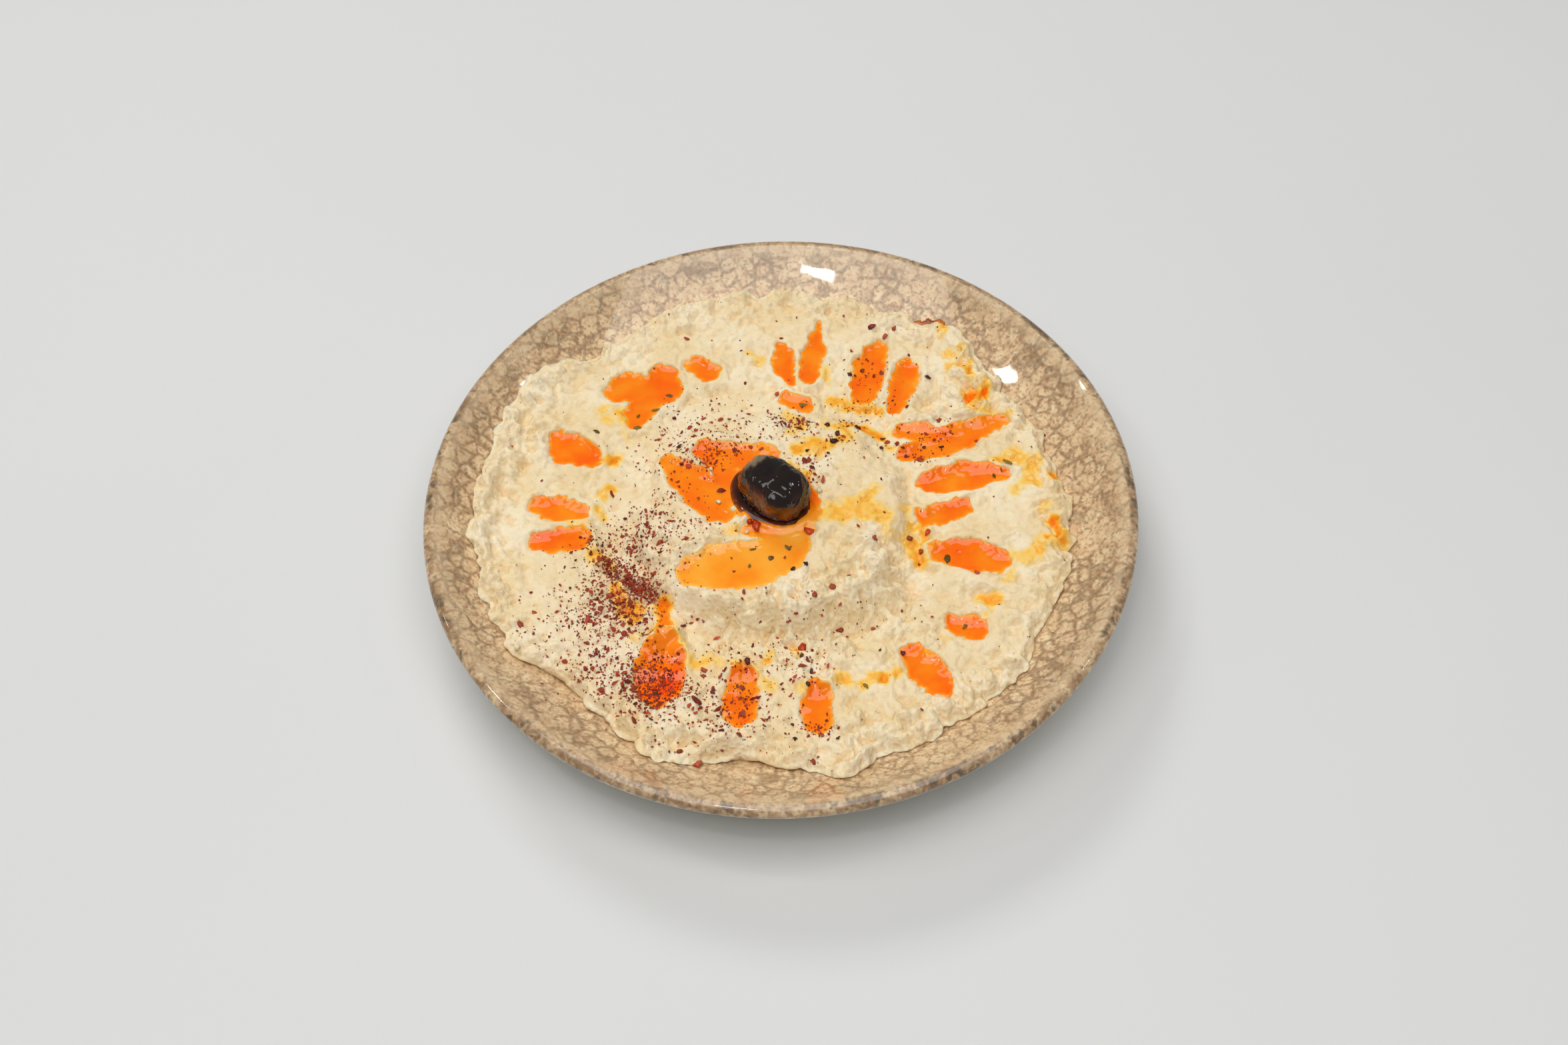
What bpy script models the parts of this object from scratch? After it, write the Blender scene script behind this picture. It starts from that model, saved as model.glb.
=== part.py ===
"""Hummus spread on a round coupe plate, with wells of red oil and one black olive.

The hummus is a broad ring swept round a low mound. The mound has a crater that holds oil and an olive,
and the ring is dented by a spoon into short spokes, each a well of oil.
Sizes are named in millimetres, and MM turns them into Blender's metres when a mesh is made.
The origin is under the middle of the plate's foot ring, +Z is up, and the side nearest the eater is -Y.
"""

import math
from dataclasses import dataclass

import bmesh
import bpy
import numpy as np
from mathutils import Matrix, Vector

MM = 0.001
GAP = 0.3

# Plate: a turned coupe plate with a rolled lip.
PLATE_RADIUS = 100.0
PLATE_SEGMENTS = 60
FLOOR_Z = 5.5
FLOOR_FLAT_R = 45.0
WALL_CURVE = 0.0072
WALL_TOP_R = 95.0
WALL_THICKNESS = 4.2
CREST_R = 96.8
PLATE_HEIGHT = 25.0
WIDEST_Z = 23.0
LIP_SHOULDER = (1.3, 0.6)
LIP_UNDERCUT = (0.6, 1.4)
INNER_STATIONS = (0.0, 25.0, 45.0, 58.0, 68.0, 77.0, 84.0, 90.0)
OUTER_STATIONS = (94.0, 86.0, 76.0, 64.0)
FOOT_OUTER_R = 52.0
FOOT_INNER_R = 46.0
FOOT_HEIGHT = 2.4
FOOT_DRAFT = 1.0
RECESS_Z = 2.0

# Hummus: radius of its torn outline every ten degrees, from +X towards +Y.
OUTLINE_R = (
    81.5, 80.5, 78.5, 79.5, 80.5, 84.5, 82.5, 83.5, 83.5, 83.5, 84.5, 84.0,
    82.5, 81.5, 86.5, 88.0, 86.0, 87.0, 87.0, 85.0, 85.0, 85.5, 79.0, 79.0,
    83.5, 83.5, 78.5, 79.5, 86.0, 81.5, 82.5, 82.0, 82.5, 80.5, 80.5, 81.0,
)
GRID_CELLS = 120
TOP_TRIANGLES_KEPT = 0.145
EDGE_THICKNESS = 2.4
LEAST_THICKNESS = 1.4
RING_INNER_Z = 16.4
RING_OUTER_Z = 17.9
RING_INNER_R = 46.0
RING_OUTER_R = 68.0
EDGE_FALL_SHARE = 0.84
UNDERSIDE_SHARES = (0.99, 0.8, 0.55, 0.3)
RIPPLE_HEIGHT = 0.3
RIPPLE_PITCH = 7.0

# Mound: its middle, the radius of its foot, and how wide its side is on the near and the far side.
MOUND_X = -1.5
MOUND_Y = 2.5
MOUND_FOOT_R = 41.0
MOUND_SIDE_NEAR = 6.0
MOUND_SIDE_FAR = 15.0
MOUND_TOP_NEAR = 21.6
MOUND_TOP_FAR = 20.6
TROUGH_DEPTH = 1.2
TROUGH_WIDTH = 4.5

# Olive: half its length, half its width, half its height, and how it lies.
OLIVE_HALF = (10.0, 7.4, 6.7)
OLIVE_MIDDLE = (-1.7, 3.6, 25.2)
OLIVE_TURN = math.radians(-42.0)
OLIVE_WRINKLE = 0.035
OLIVE_STEPS = (24, 14)

# Oil: the level and depth of each pool, and the chains of (x, y, half-width) that its outline follows.
CRATER_LEVEL = 20.0
CRATER_DEPTH = 2.4
OLIVE_MOAT = 1.42
CRATER = (
    ((-20.5, 21.5, 3.4), (-17.5, 19.5, 4.6), (-10.0, 18.6, 4.4), (-4.0, 18.5, 4.0)),
    ((-31.0, 17.0, 2.8), (-26.0, 11.5, 5.4), (-21.5, 6.0, 5.8), (-18.5, 0.8, 4.4), (-15.5, -2.5, 2.2)),
    ((-24.5, -21.0, 5.0), (-17.0, -20.0, 7.4), (-8.0, -19.0, 7.6), (0.0, -15.6, 6.6), (3.5, -12.6, 5.0)),
    ((-16.0, 17.0, 3.8), (-15.5, 10.0, 3.2), (-15.0, 4.0, 2.2)),
    ((-9.0, -7.5, 2.2), (0.0, -9.5, 3.6), (7.0, -7.5, 2.4)),
)
WELL_LEVEL = 16.5
WELL_DEPTH = 2.4
WELLS = {
    "well_01": (((4.4, 49.6, 2.2), (3.6, 54.0, 4.3), (2.2, 58.5, 3.6), (1.8, 61.8, 1.6)),),
    "well_02": (((9.2, 51.0, 2.7), (10.2, 56.0, 3.4), (11.6, 62.0, 2.8), (12.8, 68.0, 1.5), (13.2, 71.0, 0.7)),),
    "well_03": (((25.2, 43.4, 3.5), (26.4, 47.5, 4.8), (27.3, 53.0, 4.9), (29.5, 58.5, 3.8), (30.8, 61.5, 2.0)),),
    "well_04": (((34.6, 38.2, 2.1), (36.2, 43.0, 3.5), (38.0, 48.5, 4.0), (38.8, 52.5, 3.3)),),
    "well_05": (((36.5, 20.5, 2.4), (42.0, 22.5, 4.0), (49.0, 25.0, 4.6), (56.0, 28.0, 4.2), (65.0, 32.0, 1.8)),
                ((36.0, 29.0, 2.6), (41.0, 28.2, 3.0), (47.0, 27.2, 3.0))),
    "well_06": (((42.6, 9.8, 3.4), (48.0, 10.9, 4.7), (54.0, 11.8, 4.9), (59.5, 12.5, 3.6), (64.0, 12.3, 1.8)),),
    "well_07": (((41.0, -2.2, 2.9), (46.0, -0.7, 3.7), (51.5, 1.2, 2.9)),),
    "well_08": (((43.8, -14.4, 3.1), (49.0, -15.2, 4.9), (55.0, -16.6, 5.1), (60.0, -18.0, 3.6)),),
    "well_09": (((47.0, -38.6, 2.8), (51.6, -40.4, 3.9)),),
    "well_10": (((35.0, -48.8, 3.5), (37.4, -52.5, 4.7), (40.4, -56.6, 4.2), (42.3, -58.6, 2.5)),),
    "well_11": (((8.4, -60.6, 4.0), (8.3, -65.0, 4.3), (8.8, -69.0, 3.2)),),
    "well_12": (((-11.2, -54.5, 4.0), (-11.8, -60.0, 5.0), (-12.4, -64.6, 4.2)),),
    "well_13": (((-32.0, -42.0, 3.0), (-33.0, -47.5, 6.0), (-34.0, -53.0, 7.3), (-34.6, -57.0, 4.8)),),
    "well_14": (((-68.5, 5.4, 3.2), (-63.0, 4.2, 4.3), (-57.5, 3.0, 2.9)),),
    "well_15": (((-68.6, -6.9, 2.5), (-63.0, -6.6, 4.0), (-57.6, -5.8, 4.3)),),
    "well_16": (((-64.2, 29.5, 2.9), (-61.2, 26.2, 5.4), (-57.0, 24.2, 4.8), (-53.6, 22.6, 2.6)),),
    "well_17": (((-47.3, 46.8, 3.8), (-43.5, 48.8, 5.0), (-39.5, 47.0, 4.8), (-34.2, 48.2, 6.0), (-33.8, 52.5, 4.4)),
                ((-38.5, 43.0, 4.2), (-40.6, 38.8, 4.3), (-41.5, 36.0, 2.8))),
    "well_18": (((-23.6, 57.0, 3.2), (-20.2, 53.6, 3.3)),),
    "well_19": (((2.6, 41.4, 2.4), (8.0, 39.3, 2.6)),),
}
RAISED_LEVELS = {"well_19": 17.4}
SHALLOWEST = 0.1
BANK_WIDTH = 3.2
BANK_SLOPE = 0.32
SHORE_WIDTH = 3.4

# Folds that the spoon left: (path of (x, y), half-width, height), and a groove has a negative height.
FOLDS = (
    (((-34.5, -22.0), (-24.5, -31.0), (-11.0, -35.0), (7.0, -33.5), (22.0, -28.0), (31.0, -19.0)), 3.2, 2.2),
    (((-49.0, -15.5), (-45.0, -18.5), (-39.0, -23.5), (-33.5, -28.0)), 1.9, -2.4),
    (((-45.0, -22.0), (-41.0, -26.5), (-36.0, -30.0)), 1.8, 1.2),
    (((-40.0, -3.0), (-37.0, -13.0), (-31.0, -16.5), (-21.0, -12.0)), 2.6, 1.3),
    (((34.0, -25.0), (43.0, -25.0), (54.0, -25.5), (66.0, -29.0)), 2.2, 0.9),
    (((34.0, -29.0), (43.0, -29.5), (54.0, -30.0), (64.0, -34.0)), 2.4, -0.8),
    (((41.0, 33.0), (47.0, 34.5), (55.0, 35.0)), 2.0, 1.2),
    (((41.0, 38.5), (46.0, 40.5)), 2.6, -1.4),
    (((50.0, 53.0), (56.0, 48.0), (62.0, 43.0)), 2.4, 0.9),
    (((-77.0, 36.0), (-72.0, 48.0), (-62.0, 61.0)), 2.6, 0.9),
    (((-82.0, -8.0), (-79.0, -22.0), (-73.0, -36.0)), 2.6, 0.9),
    (((-46.0, -66.0), (-34.0, -69.0), (-20.0, -73.0), (-5.0, -74.0)), 2.6, 1.0),
    (((24.0, -72.0), (36.0, -68.0), (50.0, -62.0)), 2.6, 0.9),
    (((76.0, -16.0), (78.0, 0.0), (74.0, 20.0)), 2.4, 0.8),
)

COLOURS = {
    "plate": (0.50, 0.36, 0.24, 1.0),
    "hummus": (0.78, 0.66, 0.44, 1.0),
    "olive": (0.012, 0.008, 0.007, 1.0),
    "oil": (0.95, 0.21, 0.012, 1.0),
}
ROUGHNESS = {"plate": 0.18, "hummus": 0.55, "olive": 0.25, "oil": 0.08}


def clear_scene():
    """Removes every object that the session started with."""
    for old in list(bpy.data.objects):
        bpy.data.objects.remove(old, do_unlink=True)


def material(name):
    """A Principled material in the colour and roughness named for it."""
    made = bpy.data.materials.new(name)
    made.use_nodes = True
    shader = made.node_tree.nodes["Principled BSDF"]
    shader.inputs["Base Color"].default_value = COLOURS[name]
    shader.inputs["Roughness"].default_value = ROUGHNESS[name]
    shader.inputs["Metallic"].default_value = 0.0
    made.diffuse_color = COLOURS[name]
    return made


def add_object(name, mesh_maker, finish):
    """Links an object whose bmesh, in millimetres, is scaled to metres, and frees that bmesh."""
    bmesh.ops.recalc_face_normals(mesh_maker, faces=mesh_maker.faces)
    bmesh.ops.scale(mesh_maker, vec=Vector((MM, MM, MM)), verts=mesh_maker.verts)
    mesh = bpy.data.meshes.new(name)
    mesh_maker.to_mesh(mesh)
    mesh_maker.free()
    mesh.materials.append(finish)
    mesh.shade_smooth()
    made = bpy.data.objects.new(name, mesh)
    bpy.context.scene.collection.objects.link(made)
    return made


def smoothstep(low, high, value):
    """0 below low, 1 above high, and a smooth S between them. High may be the smaller one."""
    t = np.clip((value - low) / (high - low), 0.0, 1.0)
    return t * t * (3.0 - 2.0 * t)


def mix(first, second, share):
    """First where share is 0, second where it is 1."""
    return first * (1.0 - share) + second * share


def plate_floor(radius):
    """Height of the plate's inner face: flat in the middle, then a parabola up the wall."""
    return FLOOR_Z + WALL_CURVE * np.clip(radius - FLOOR_FLAT_R, 0.0, None) ** 2


def plate_profile():
    """Radius and height down the plate's section, from the middle of the floor over the lip to the underside."""
    inner = [(r, float(plate_floor(r))) for r in (*INNER_STATIONS, WALL_TOP_R)]
    lip = [
        (CREST_R, PLATE_HEIGHT),
        (PLATE_RADIUS - LIP_SHOULDER[0], PLATE_HEIGHT - LIP_SHOULDER[1]),
        (PLATE_RADIUS, WIDEST_Z),
        (PLATE_RADIUS - LIP_UNDERCUT[0], WIDEST_Z - LIP_UNDERCUT[1]),
    ]
    outer = []
    for r in OUTER_STATIONS:
        slope = 2.0 * WALL_CURVE * (r - FLOOR_FLAT_R)
        outer.append((r, float(plate_floor(r)) - WALL_THICKNESS * math.hypot(1.0, slope)))
    foot = [
        (FOOT_OUTER_R + FOOT_DRAFT, FOOT_HEIGHT),
        (FOOT_OUTER_R, 0.0),
        (FOOT_INNER_R, 0.0),
        (FOOT_INNER_R - FOOT_DRAFT, RECESS_Z),
        (0.0, RECESS_Z),
    ]
    return inner + lip + outer + foot


def build_plate():
    """Spins the section once round Z."""
    turned = bmesh.new()
    ring = [turned.verts.new((r, 0.0, z)) for r, z in plate_profile()]
    edges = [turned.edges.new(pair) for pair in zip(ring[:-1], ring[1:])]
    bmesh.ops.spin(
        turned, geom=ring + edges, cent=(0, 0, 0), axis=(0, 0, 1), angle=2 * math.pi,
        steps=PLATE_SEGMENTS, use_merge=True,
    )
    bmesh.ops.remove_doubles(turned, verts=turned.verts, dist=0.001)
    return add_object("plate", turned, material("plate"))


def outline_radius(angle):
    """Radius of the torn edge at an angle, a Catmull-Rom curve through OUTLINE_R."""
    count = len(OUTLINE_R)
    table = np.array(OUTLINE_R)
    place = np.mod(angle / (2.0 * math.pi), 1.0) * count
    step = np.floor(place).astype(int)
    t = place - step
    a, b, c, d = (table[(step + k) % count] for k in (-1, 0, 1, 2))
    return b + 0.5 * t * (c - a + t * (2 * a - 5 * b + 4 * c - d + t * (3 * (b - c) + d - a)))


def chain_distance(x, y, chain):
    """Signed distance from points to a chain of discs joined by tapering bands, negative inside."""
    nearest = np.full(np.shape(x), 1e9)
    for (ax, ay, aw), (bx, by, bw) in zip(chain[:-1], chain[1:]):
        run = (bx - ax) ** 2 + (by - ay) ** 2
        t = np.clip(((x - ax) * (bx - ax) + (y - ay) * (by - ay)) / run, 0.0, 1.0)
        away = np.hypot(x - ax - t * (bx - ax), y - ay - t * (by - ay))
        nearest = np.minimum(nearest, away - mix(aw, bw, t))
    return nearest


@dataclass
class Pool:
    """A pool of oil: its name, its level, how deep it is, its chains, and how far it rings the olive."""

    name: str
    level: float
    depth: float
    chains: tuple
    moat: float = 0.0

    def distance(self, x, y):
        """Signed distance from points to the pool's outline, negative inside."""
        nearest = np.minimum.reduce([chain_distance(x, y, chain) for chain in self.chains])
        if self.moat:
            nearest = np.minimum(nearest, (olive_share(x, y) - self.moat) * OLIVE_HALF[1])
        return nearest


def pools():
    """Every pool of oil, from the crater's to the last well's."""
    made = [Pool("oil_crater", CRATER_LEVEL, CRATER_DEPTH, CRATER, OLIVE_MOAT)]
    for name, chains in WELLS.items():
        made.append(Pool("oil_" + name, RAISED_LEVELS.get(name, WELL_LEVEL), WELL_DEPTH, chains))
    return made


def mound_height(x, y):
    """Ring, trough and mound before any dent: a smooth step up from the foot, steeper on the near side."""
    r = np.hypot(x - MOUND_X, y - MOUND_Y)
    far = 0.5 + 0.5 * np.sin(np.arctan2(y - MOUND_Y, x - MOUND_X))
    ring = mix(RING_INNER_Z, RING_OUTER_Z, smoothstep(RING_INNER_R, RING_OUTER_R, r))
    ripple = RIPPLE_HEIGHT * np.sin(2 * math.pi * r / RIPPLE_PITCH + 3.0 * np.sin(2.0 * np.arctan2(y, x)))
    trough = TROUGH_DEPTH * np.exp(-(((r - MOUND_FOOT_R - TROUGH_WIDTH) / TROUGH_WIDTH) ** 2))
    top = mix(MOUND_TOP_NEAR, MOUND_TOP_FAR, far)
    side = mix(MOUND_SIDE_NEAR, MOUND_SIDE_FAR, far)
    return mix(ring + ripple - trough, top, smoothstep(MOUND_FOOT_R, MOUND_FOOT_R - side, r))


def fold_height(x, y):
    """Sum of the spoon's folds, each a soft ridge along its path."""
    total = np.zeros(np.shape(x))
    for path, width, height in FOLDS:
        away = chain_distance(x, y, [(px, py, 0.0) for px, py in path])
        total += height * np.exp(-((away / width) ** 2))
    return total


def olive_share(x, y):
    """0 under the olive's middle and 1 on the outline that it has from above."""
    dx, dy = x - OLIVE_MIDDLE[0], y - OLIVE_MIDDLE[1]
    along = dx * math.cos(OLIVE_TURN) + dy * math.sin(OLIVE_TURN)
    across = dy * math.cos(OLIVE_TURN) - dx * math.sin(OLIVE_TURN)
    return np.hypot(along / OLIVE_HALF[0], across / OLIVE_HALF[1])


def hummus_height(x, y):
    """Height of the hummus: mound and folds, with every pool's bowl pressed in and the edge drawn down."""
    r, angle = np.hypot(x, y), np.arctan2(y, x)
    share = r / outline_radius(angle)
    z = mound_height(x, y) + fold_height(x, y)
    edge = plate_floor(outline_radius(angle)) + EDGE_THICKNESS
    z = mix(z, edge, smoothstep(EDGE_FALL_SHARE, 1.0, share))
    for pool in pools():
        away = pool.distance(x, y)
        sunk = 1.0 - (1.0 - np.clip(-away / BANK_WIDTH, 0.0, 1.0)) ** 2
        bowl = pool.level - pool.depth * sunk + BANK_SLOPE * np.clip(away, 0.0, None)
        z = mix(bowl, z, smoothstep(0.0, SHORE_WIDTH, away))
    return np.maximum(z, plate_floor(r) + LEAST_THICKNESS)


def disc_grid(cells):
    """A square grid of cells bent into a unit disc, ring by square ring, so that no cell is a sliver."""
    a, b = np.meshgrid(np.linspace(-1, 1, cells + 1), np.linspace(-1, 1, cells + 1))
    wide = np.abs(a) >= np.abs(b)
    radius = np.where(wide, a, b)
    safe = np.where(radius == 0.0, 1.0, radius)
    turn = np.where(wide, math.pi / 4 * b / safe, math.pi / 2 - math.pi / 4 * a / safe)
    return radius * np.cos(turn), radius * np.sin(turn)


def hummus_top():
    """The hummus's upper face as a bmesh sheet: a fine grid, then thinned out where it is nearly flat."""
    u, v = disc_grid(GRID_CELLS)
    reach = outline_radius(np.arctan2(v, u))
    x, y = u * reach, v * reach
    points = np.stack([x, y, hummus_height(x, y)], axis=-1).reshape(-1, 3)
    row = GRID_CELLS + 1
    corner = (np.arange(GRID_CELLS)[:, None] * row + np.arange(GRID_CELLS)).ravel()
    faces = np.stack([corner, corner + 1, corner + row + 1, corner + row], axis=-1)
    mesh = bpy.data.meshes.new("hummus_top")
    mesh.from_pydata(points.tolist(), [], faces.tolist())
    guide = bpy.data.objects.new("hummus_top", mesh)
    bpy.context.scene.collection.objects.link(guide)
    thin = guide.modifiers.new("thin", "DECIMATE")
    thin.ratio = TOP_TRIANGLES_KEPT
    seen = guide.evaluated_get(bpy.context.evaluated_depsgraph_get())
    sheet = bmesh.new()
    sheet.from_mesh(seen.to_mesh())
    seen.to_mesh_clear()
    bpy.data.objects.remove(guide, do_unlink=True)
    return sheet


def extrude_rim(body, edges):
    """Extrudes a loop of edges and returns the new edges and vertices."""
    grown = bmesh.ops.extrude_edge_only(body, edges=edges)["geom"]
    new_edges = [g for g in grown if isinstance(g, bmesh.types.BMEdge)]
    new_verts = [g for g in grown if isinstance(g, bmesh.types.BMVert)]
    return new_edges, new_verts


def build_hummus(sheet):
    """Closes the top sheet with a torn wall down to the plate and an underside that follows the plate."""
    body = sheet.copy()
    rim = [e for e in body.edges if e.is_boundary]
    for share, last in zip(UNDERSIDE_SHARES, (1.0, *UNDERSIDE_SHARES)):
        rim, verts = extrude_rim(body, rim)
        for vert in verts:
            vert.co.xy *= share / last
            vert.co.z = float(plate_floor(vert.co.xy.length)) + GAP
    rim, verts = extrude_rim(body, rim)
    bmesh.ops.pointmerge(body, verts=verts, merge_co=Vector((0.0, 0.0, FLOOR_Z + GAP)))
    return add_object("hummus", body, material("hummus"))


def main_island(sheet, spot):
    """Keeps the faces of a sheet that are joined, edge to edge, to the face nearest a spot."""
    start = min(sheet.faces, key=lambda f: (f.calc_center_median().xy - spot).length)
    kept, front = {start}, [start]
    while front:
        for edge in front.pop().edges:
            for other in edge.link_faces:
                if other not in kept:
                    kept.add(other)
                    front.append(other)
    bmesh.ops.delete(sheet, geom=[f for f in sheet.faces if f not in kept], context="FACES")


def settle_bed(bed, level):
    """Puts the shore of a bed at the level and the rest clearly below it, so that the lid can't touch it.

    An inner edge that runs from shore to shore is split, and its middle is sunk too.
    """
    bridges = [e for e in bed.edges if not e.is_boundary and all(v.is_boundary for v in e.verts)]
    bmesh.ops.subdivide_edges(bed, edges=bridges, cuts=1, use_grid_fill=True, use_single_edge=True)
    for vert in bed.verts:
        vert.co.z = level if vert.is_boundary else min(vert.co.z, level - SHALLOWEST)


def build_oil(sheet, pool, finish):
    """A pool of oil: the hummus's own surface raised by the gap, cut off at the level and capped there."""
    body = sheet.copy()
    spots = np.array([v.co[:2] for v in body.verts])
    near = pool.distance(spots[:, 0], spots[:, 1]) < 1.5 * SHORE_WIDTH
    bmesh.ops.delete(body, geom=[v for v, keep in zip(body.verts, near) if not keep], context="VERTS")
    bmesh.ops.translate(body, vec=Vector((0, 0, GAP)), verts=body.verts)
    bmesh.ops.bisect_plane(
        body, geom=body.verts[:] + body.edges[:] + body.faces[:], dist=0.5 * SHALLOWEST,
        plane_co=Vector((0, 0, pool.level)), plane_no=Vector((0, 0, 1)), clear_outer=True,
    )
    main_island(body, Vector(max(pool.chains[0], key=lambda link: link[2])[:2]))
    settle_bed(body, pool.level)
    bed = body.faces[:]
    lid = bmesh.ops.duplicate(body, geom=body.verts[:] + body.edges[:] + bed)["geom"]
    for vert in (g for g in lid if isinstance(g, bmesh.types.BMVert)):
        vert.co.z = pool.level
    bmesh.ops.reverse_faces(body, faces=bed)
    rim = [v for v in body.verts if v.is_boundary]
    bmesh.ops.remove_doubles(body, verts=rim, dist=0.001)
    flat = {f for f in body.faces if all(v.co.z > pool.level - 0.001 for v in f.verts)}
    inner = [e for e in body.edges if all(f in flat for f in e.link_faces)]
    if not pool.moat:
        bmesh.ops.dissolve_limit(body, angle_limit=math.radians(1.0), verts=[], edges=inner)
    bmesh.ops.triangulate(body, faces=body.faces[:])
    return add_object(pool.name, body, finish)


def olive_place():
    """Where the olive lies and how it is turned."""
    return Matrix.Translation(OLIVE_MIDDLE) @ Matrix.Rotation(OLIVE_TURN, 4, "Z")


def build_olive():
    """An ellipsoid with shallow dents on its upper side."""
    body = bmesh.new()
    bmesh.ops.create_uvsphere(body, u_segments=OLIVE_STEPS[0], v_segments=OLIVE_STEPS[1], radius=1.0)
    for vert in body.verts:
        x, y, z = vert.co
        dent = math.sin(5 * x + 3 * y) * math.sin(4 * y - 5 * z) * max(z + 0.4, 0.0)
        swell = 1.0 - OLIVE_WRINKLE * (0.5 + 0.5 * dent)
        vert.co = Vector([c * swell * half for c, half in zip((x, y, z), OLIVE_HALF)])
    body.transform(olive_place())
    return add_object("olive", body, material("olive"))


def cut_round_olive(pool, finish):
    """Opens the oil round the olive, as wide as the olive is at the oil's level, with a Boolean difference."""
    depth = (OLIVE_MIDDLE[2] - CRATER_LEVEL) / OLIVE_HALF[2]
    share = math.sqrt(1.0 - depth**2)
    plug = bmesh.new()
    bmesh.ops.create_cone(
        plug, cap_ends=True, segments=OLIVE_STEPS[0], radius1=1.0, radius2=1.0, depth=2.0 * CRATER_LEVEL,
    )
    reach = [share * half + 1.5 * GAP for half in OLIVE_HALF[:2]]
    bmesh.ops.scale(plug, vec=Vector((*reach, 1.0)), verts=plug.verts)
    plug.transform(olive_place())
    cutter = add_object("olive_cutter", plug, finish)
    cutter.hide_render = True
    cutter.display_type = "WIRE"
    cut = pool.modifiers.new("round_olive", "BOOLEAN")
    cut.operation = "DIFFERENCE"
    cut.solver = "EXACT"
    cut.object = cutter


def main():
    """Builds the plate, the hummus, the oil in its dents and the olive."""
    clear_scene()
    build_plate()
    sheet = hummus_top()
    build_hummus(sheet)
    finish = material("oil")
    for pool in pools():
        oil = build_oil(sheet, pool, finish)
        if pool.moat:
            cut_round_olive(oil, finish)
    sheet.free()
    build_olive()


main()
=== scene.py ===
"""Hummus swept round a glazed coupe plate, with a crater and spoon dents full of oil, an olive and sumac.

Lengths are named in millimetres and become metres when a mesh is made. The plate stands on z = 0 with its
middle over the origin, +Z is up, and -Y is the side that the eater sits at, so north is the far side. Every
shape is an array formula over a grid.
"""

import logging
import math
from dataclasses import dataclass
from enum import Enum
from functools import partial
from typing import Callable, Iterable, Sequence

import bpy
import numpy as np
from mathutils import Matrix, Vector


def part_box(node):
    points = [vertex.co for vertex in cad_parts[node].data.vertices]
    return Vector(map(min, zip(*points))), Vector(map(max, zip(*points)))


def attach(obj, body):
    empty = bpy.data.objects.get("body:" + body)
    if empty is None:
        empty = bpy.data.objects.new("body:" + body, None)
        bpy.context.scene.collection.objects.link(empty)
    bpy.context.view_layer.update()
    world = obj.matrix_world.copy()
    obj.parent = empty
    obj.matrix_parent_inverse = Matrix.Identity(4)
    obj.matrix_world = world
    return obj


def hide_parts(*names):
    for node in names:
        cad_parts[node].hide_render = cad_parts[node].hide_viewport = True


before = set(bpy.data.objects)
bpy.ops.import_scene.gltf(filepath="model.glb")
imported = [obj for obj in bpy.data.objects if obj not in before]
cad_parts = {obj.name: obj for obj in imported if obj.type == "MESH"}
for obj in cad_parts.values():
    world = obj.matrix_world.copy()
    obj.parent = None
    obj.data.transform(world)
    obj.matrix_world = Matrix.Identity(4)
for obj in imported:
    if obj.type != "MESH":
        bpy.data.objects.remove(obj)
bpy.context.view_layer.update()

MM = 0.001
BODY = "root"
LOG = logging.getLogger("hummus")

Array = np.ndarray
Chain = tuple[tuple[float, float, float], ...]
Path = tuple[tuple[float, float], ...]


# Small sums that the shapes share.


def smoothstep(low: float, high: float, value: Array) -> Array:
    """0 below low, 1 above high, and a smooth S between them. High may be the smaller one."""
    t = np.clip((value - low) / (high - low), 0.0, 1.0)
    return t * t * (3.0 - 2.0 * t)


def mix(first: Array | float, second: Array | float, share: Array | float) -> Array:
    """First where share is 0, second where it is 1."""
    return first * (1.0 - share) + second * share


def unit(vectors: Array) -> Array:
    """Rows of vectors, each divided by its own length."""
    return vectors / np.maximum(np.linalg.norm(vectors, axis=-1, keepdims=True), 1e-12)


def lattice_turn(ix: Array, iy: Array, seed: int) -> Array:
    """A repeatable angle for each lattice point, from multiplying and xoring its whole-number indices.

    Args:
        ix: First index of each point.
        iy: Second index of each point.
        seed: Picks the pattern.

    Returns:
        Angles from 0 to 2 pi.
    """
    mixed = (ix * 374761393 + iy * 668265263 + seed * 974634777) & 0xFFFFFFFF
    mixed = ((mixed ^ (mixed >> 13)) * 1274126177) & 0xFFFFFFFF
    return (mixed ^ (mixed >> 16)) * (2.0 * math.pi / 2**32)


def gradient_noise(x: Array, y: Array, seed: int, wrap: int = 0) -> Array:
    """Gradient noise of about -1 to 1: the slopes at four lattice points, blended by a quintic.

    Args:
        x: First coordinate, in lattice cells.
        y: Second coordinate, in lattice cells.
        seed: Picks the pattern.
        wrap: Whole number of cells after which the pattern repeats along y, or 0 for never.

    Returns:
        The noise at each point.
    """
    ix, iy = np.floor(x).astype(np.int64), np.floor(y).astype(np.int64)
    fx, fy = x - ix, y - iy
    u, v = (t**3 * (t * (6.0 * t - 15.0) + 10.0) for t in (fx, fy))
    total = np.zeros(np.shape(fx))
    for dx in (0, 1):
        for dy in (0, 1):
            row = (iy + dy) % wrap if wrap else iy + dy
            turn = lattice_turn(ix + dx, row, seed)
            weight = (u if dx else 1.0 - u) * (v if dy else 1.0 - v)
            total += weight * (np.cos(turn) * (fx - dx) + np.sin(turn) * (fy - dy))
    return 1.4 * total


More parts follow.
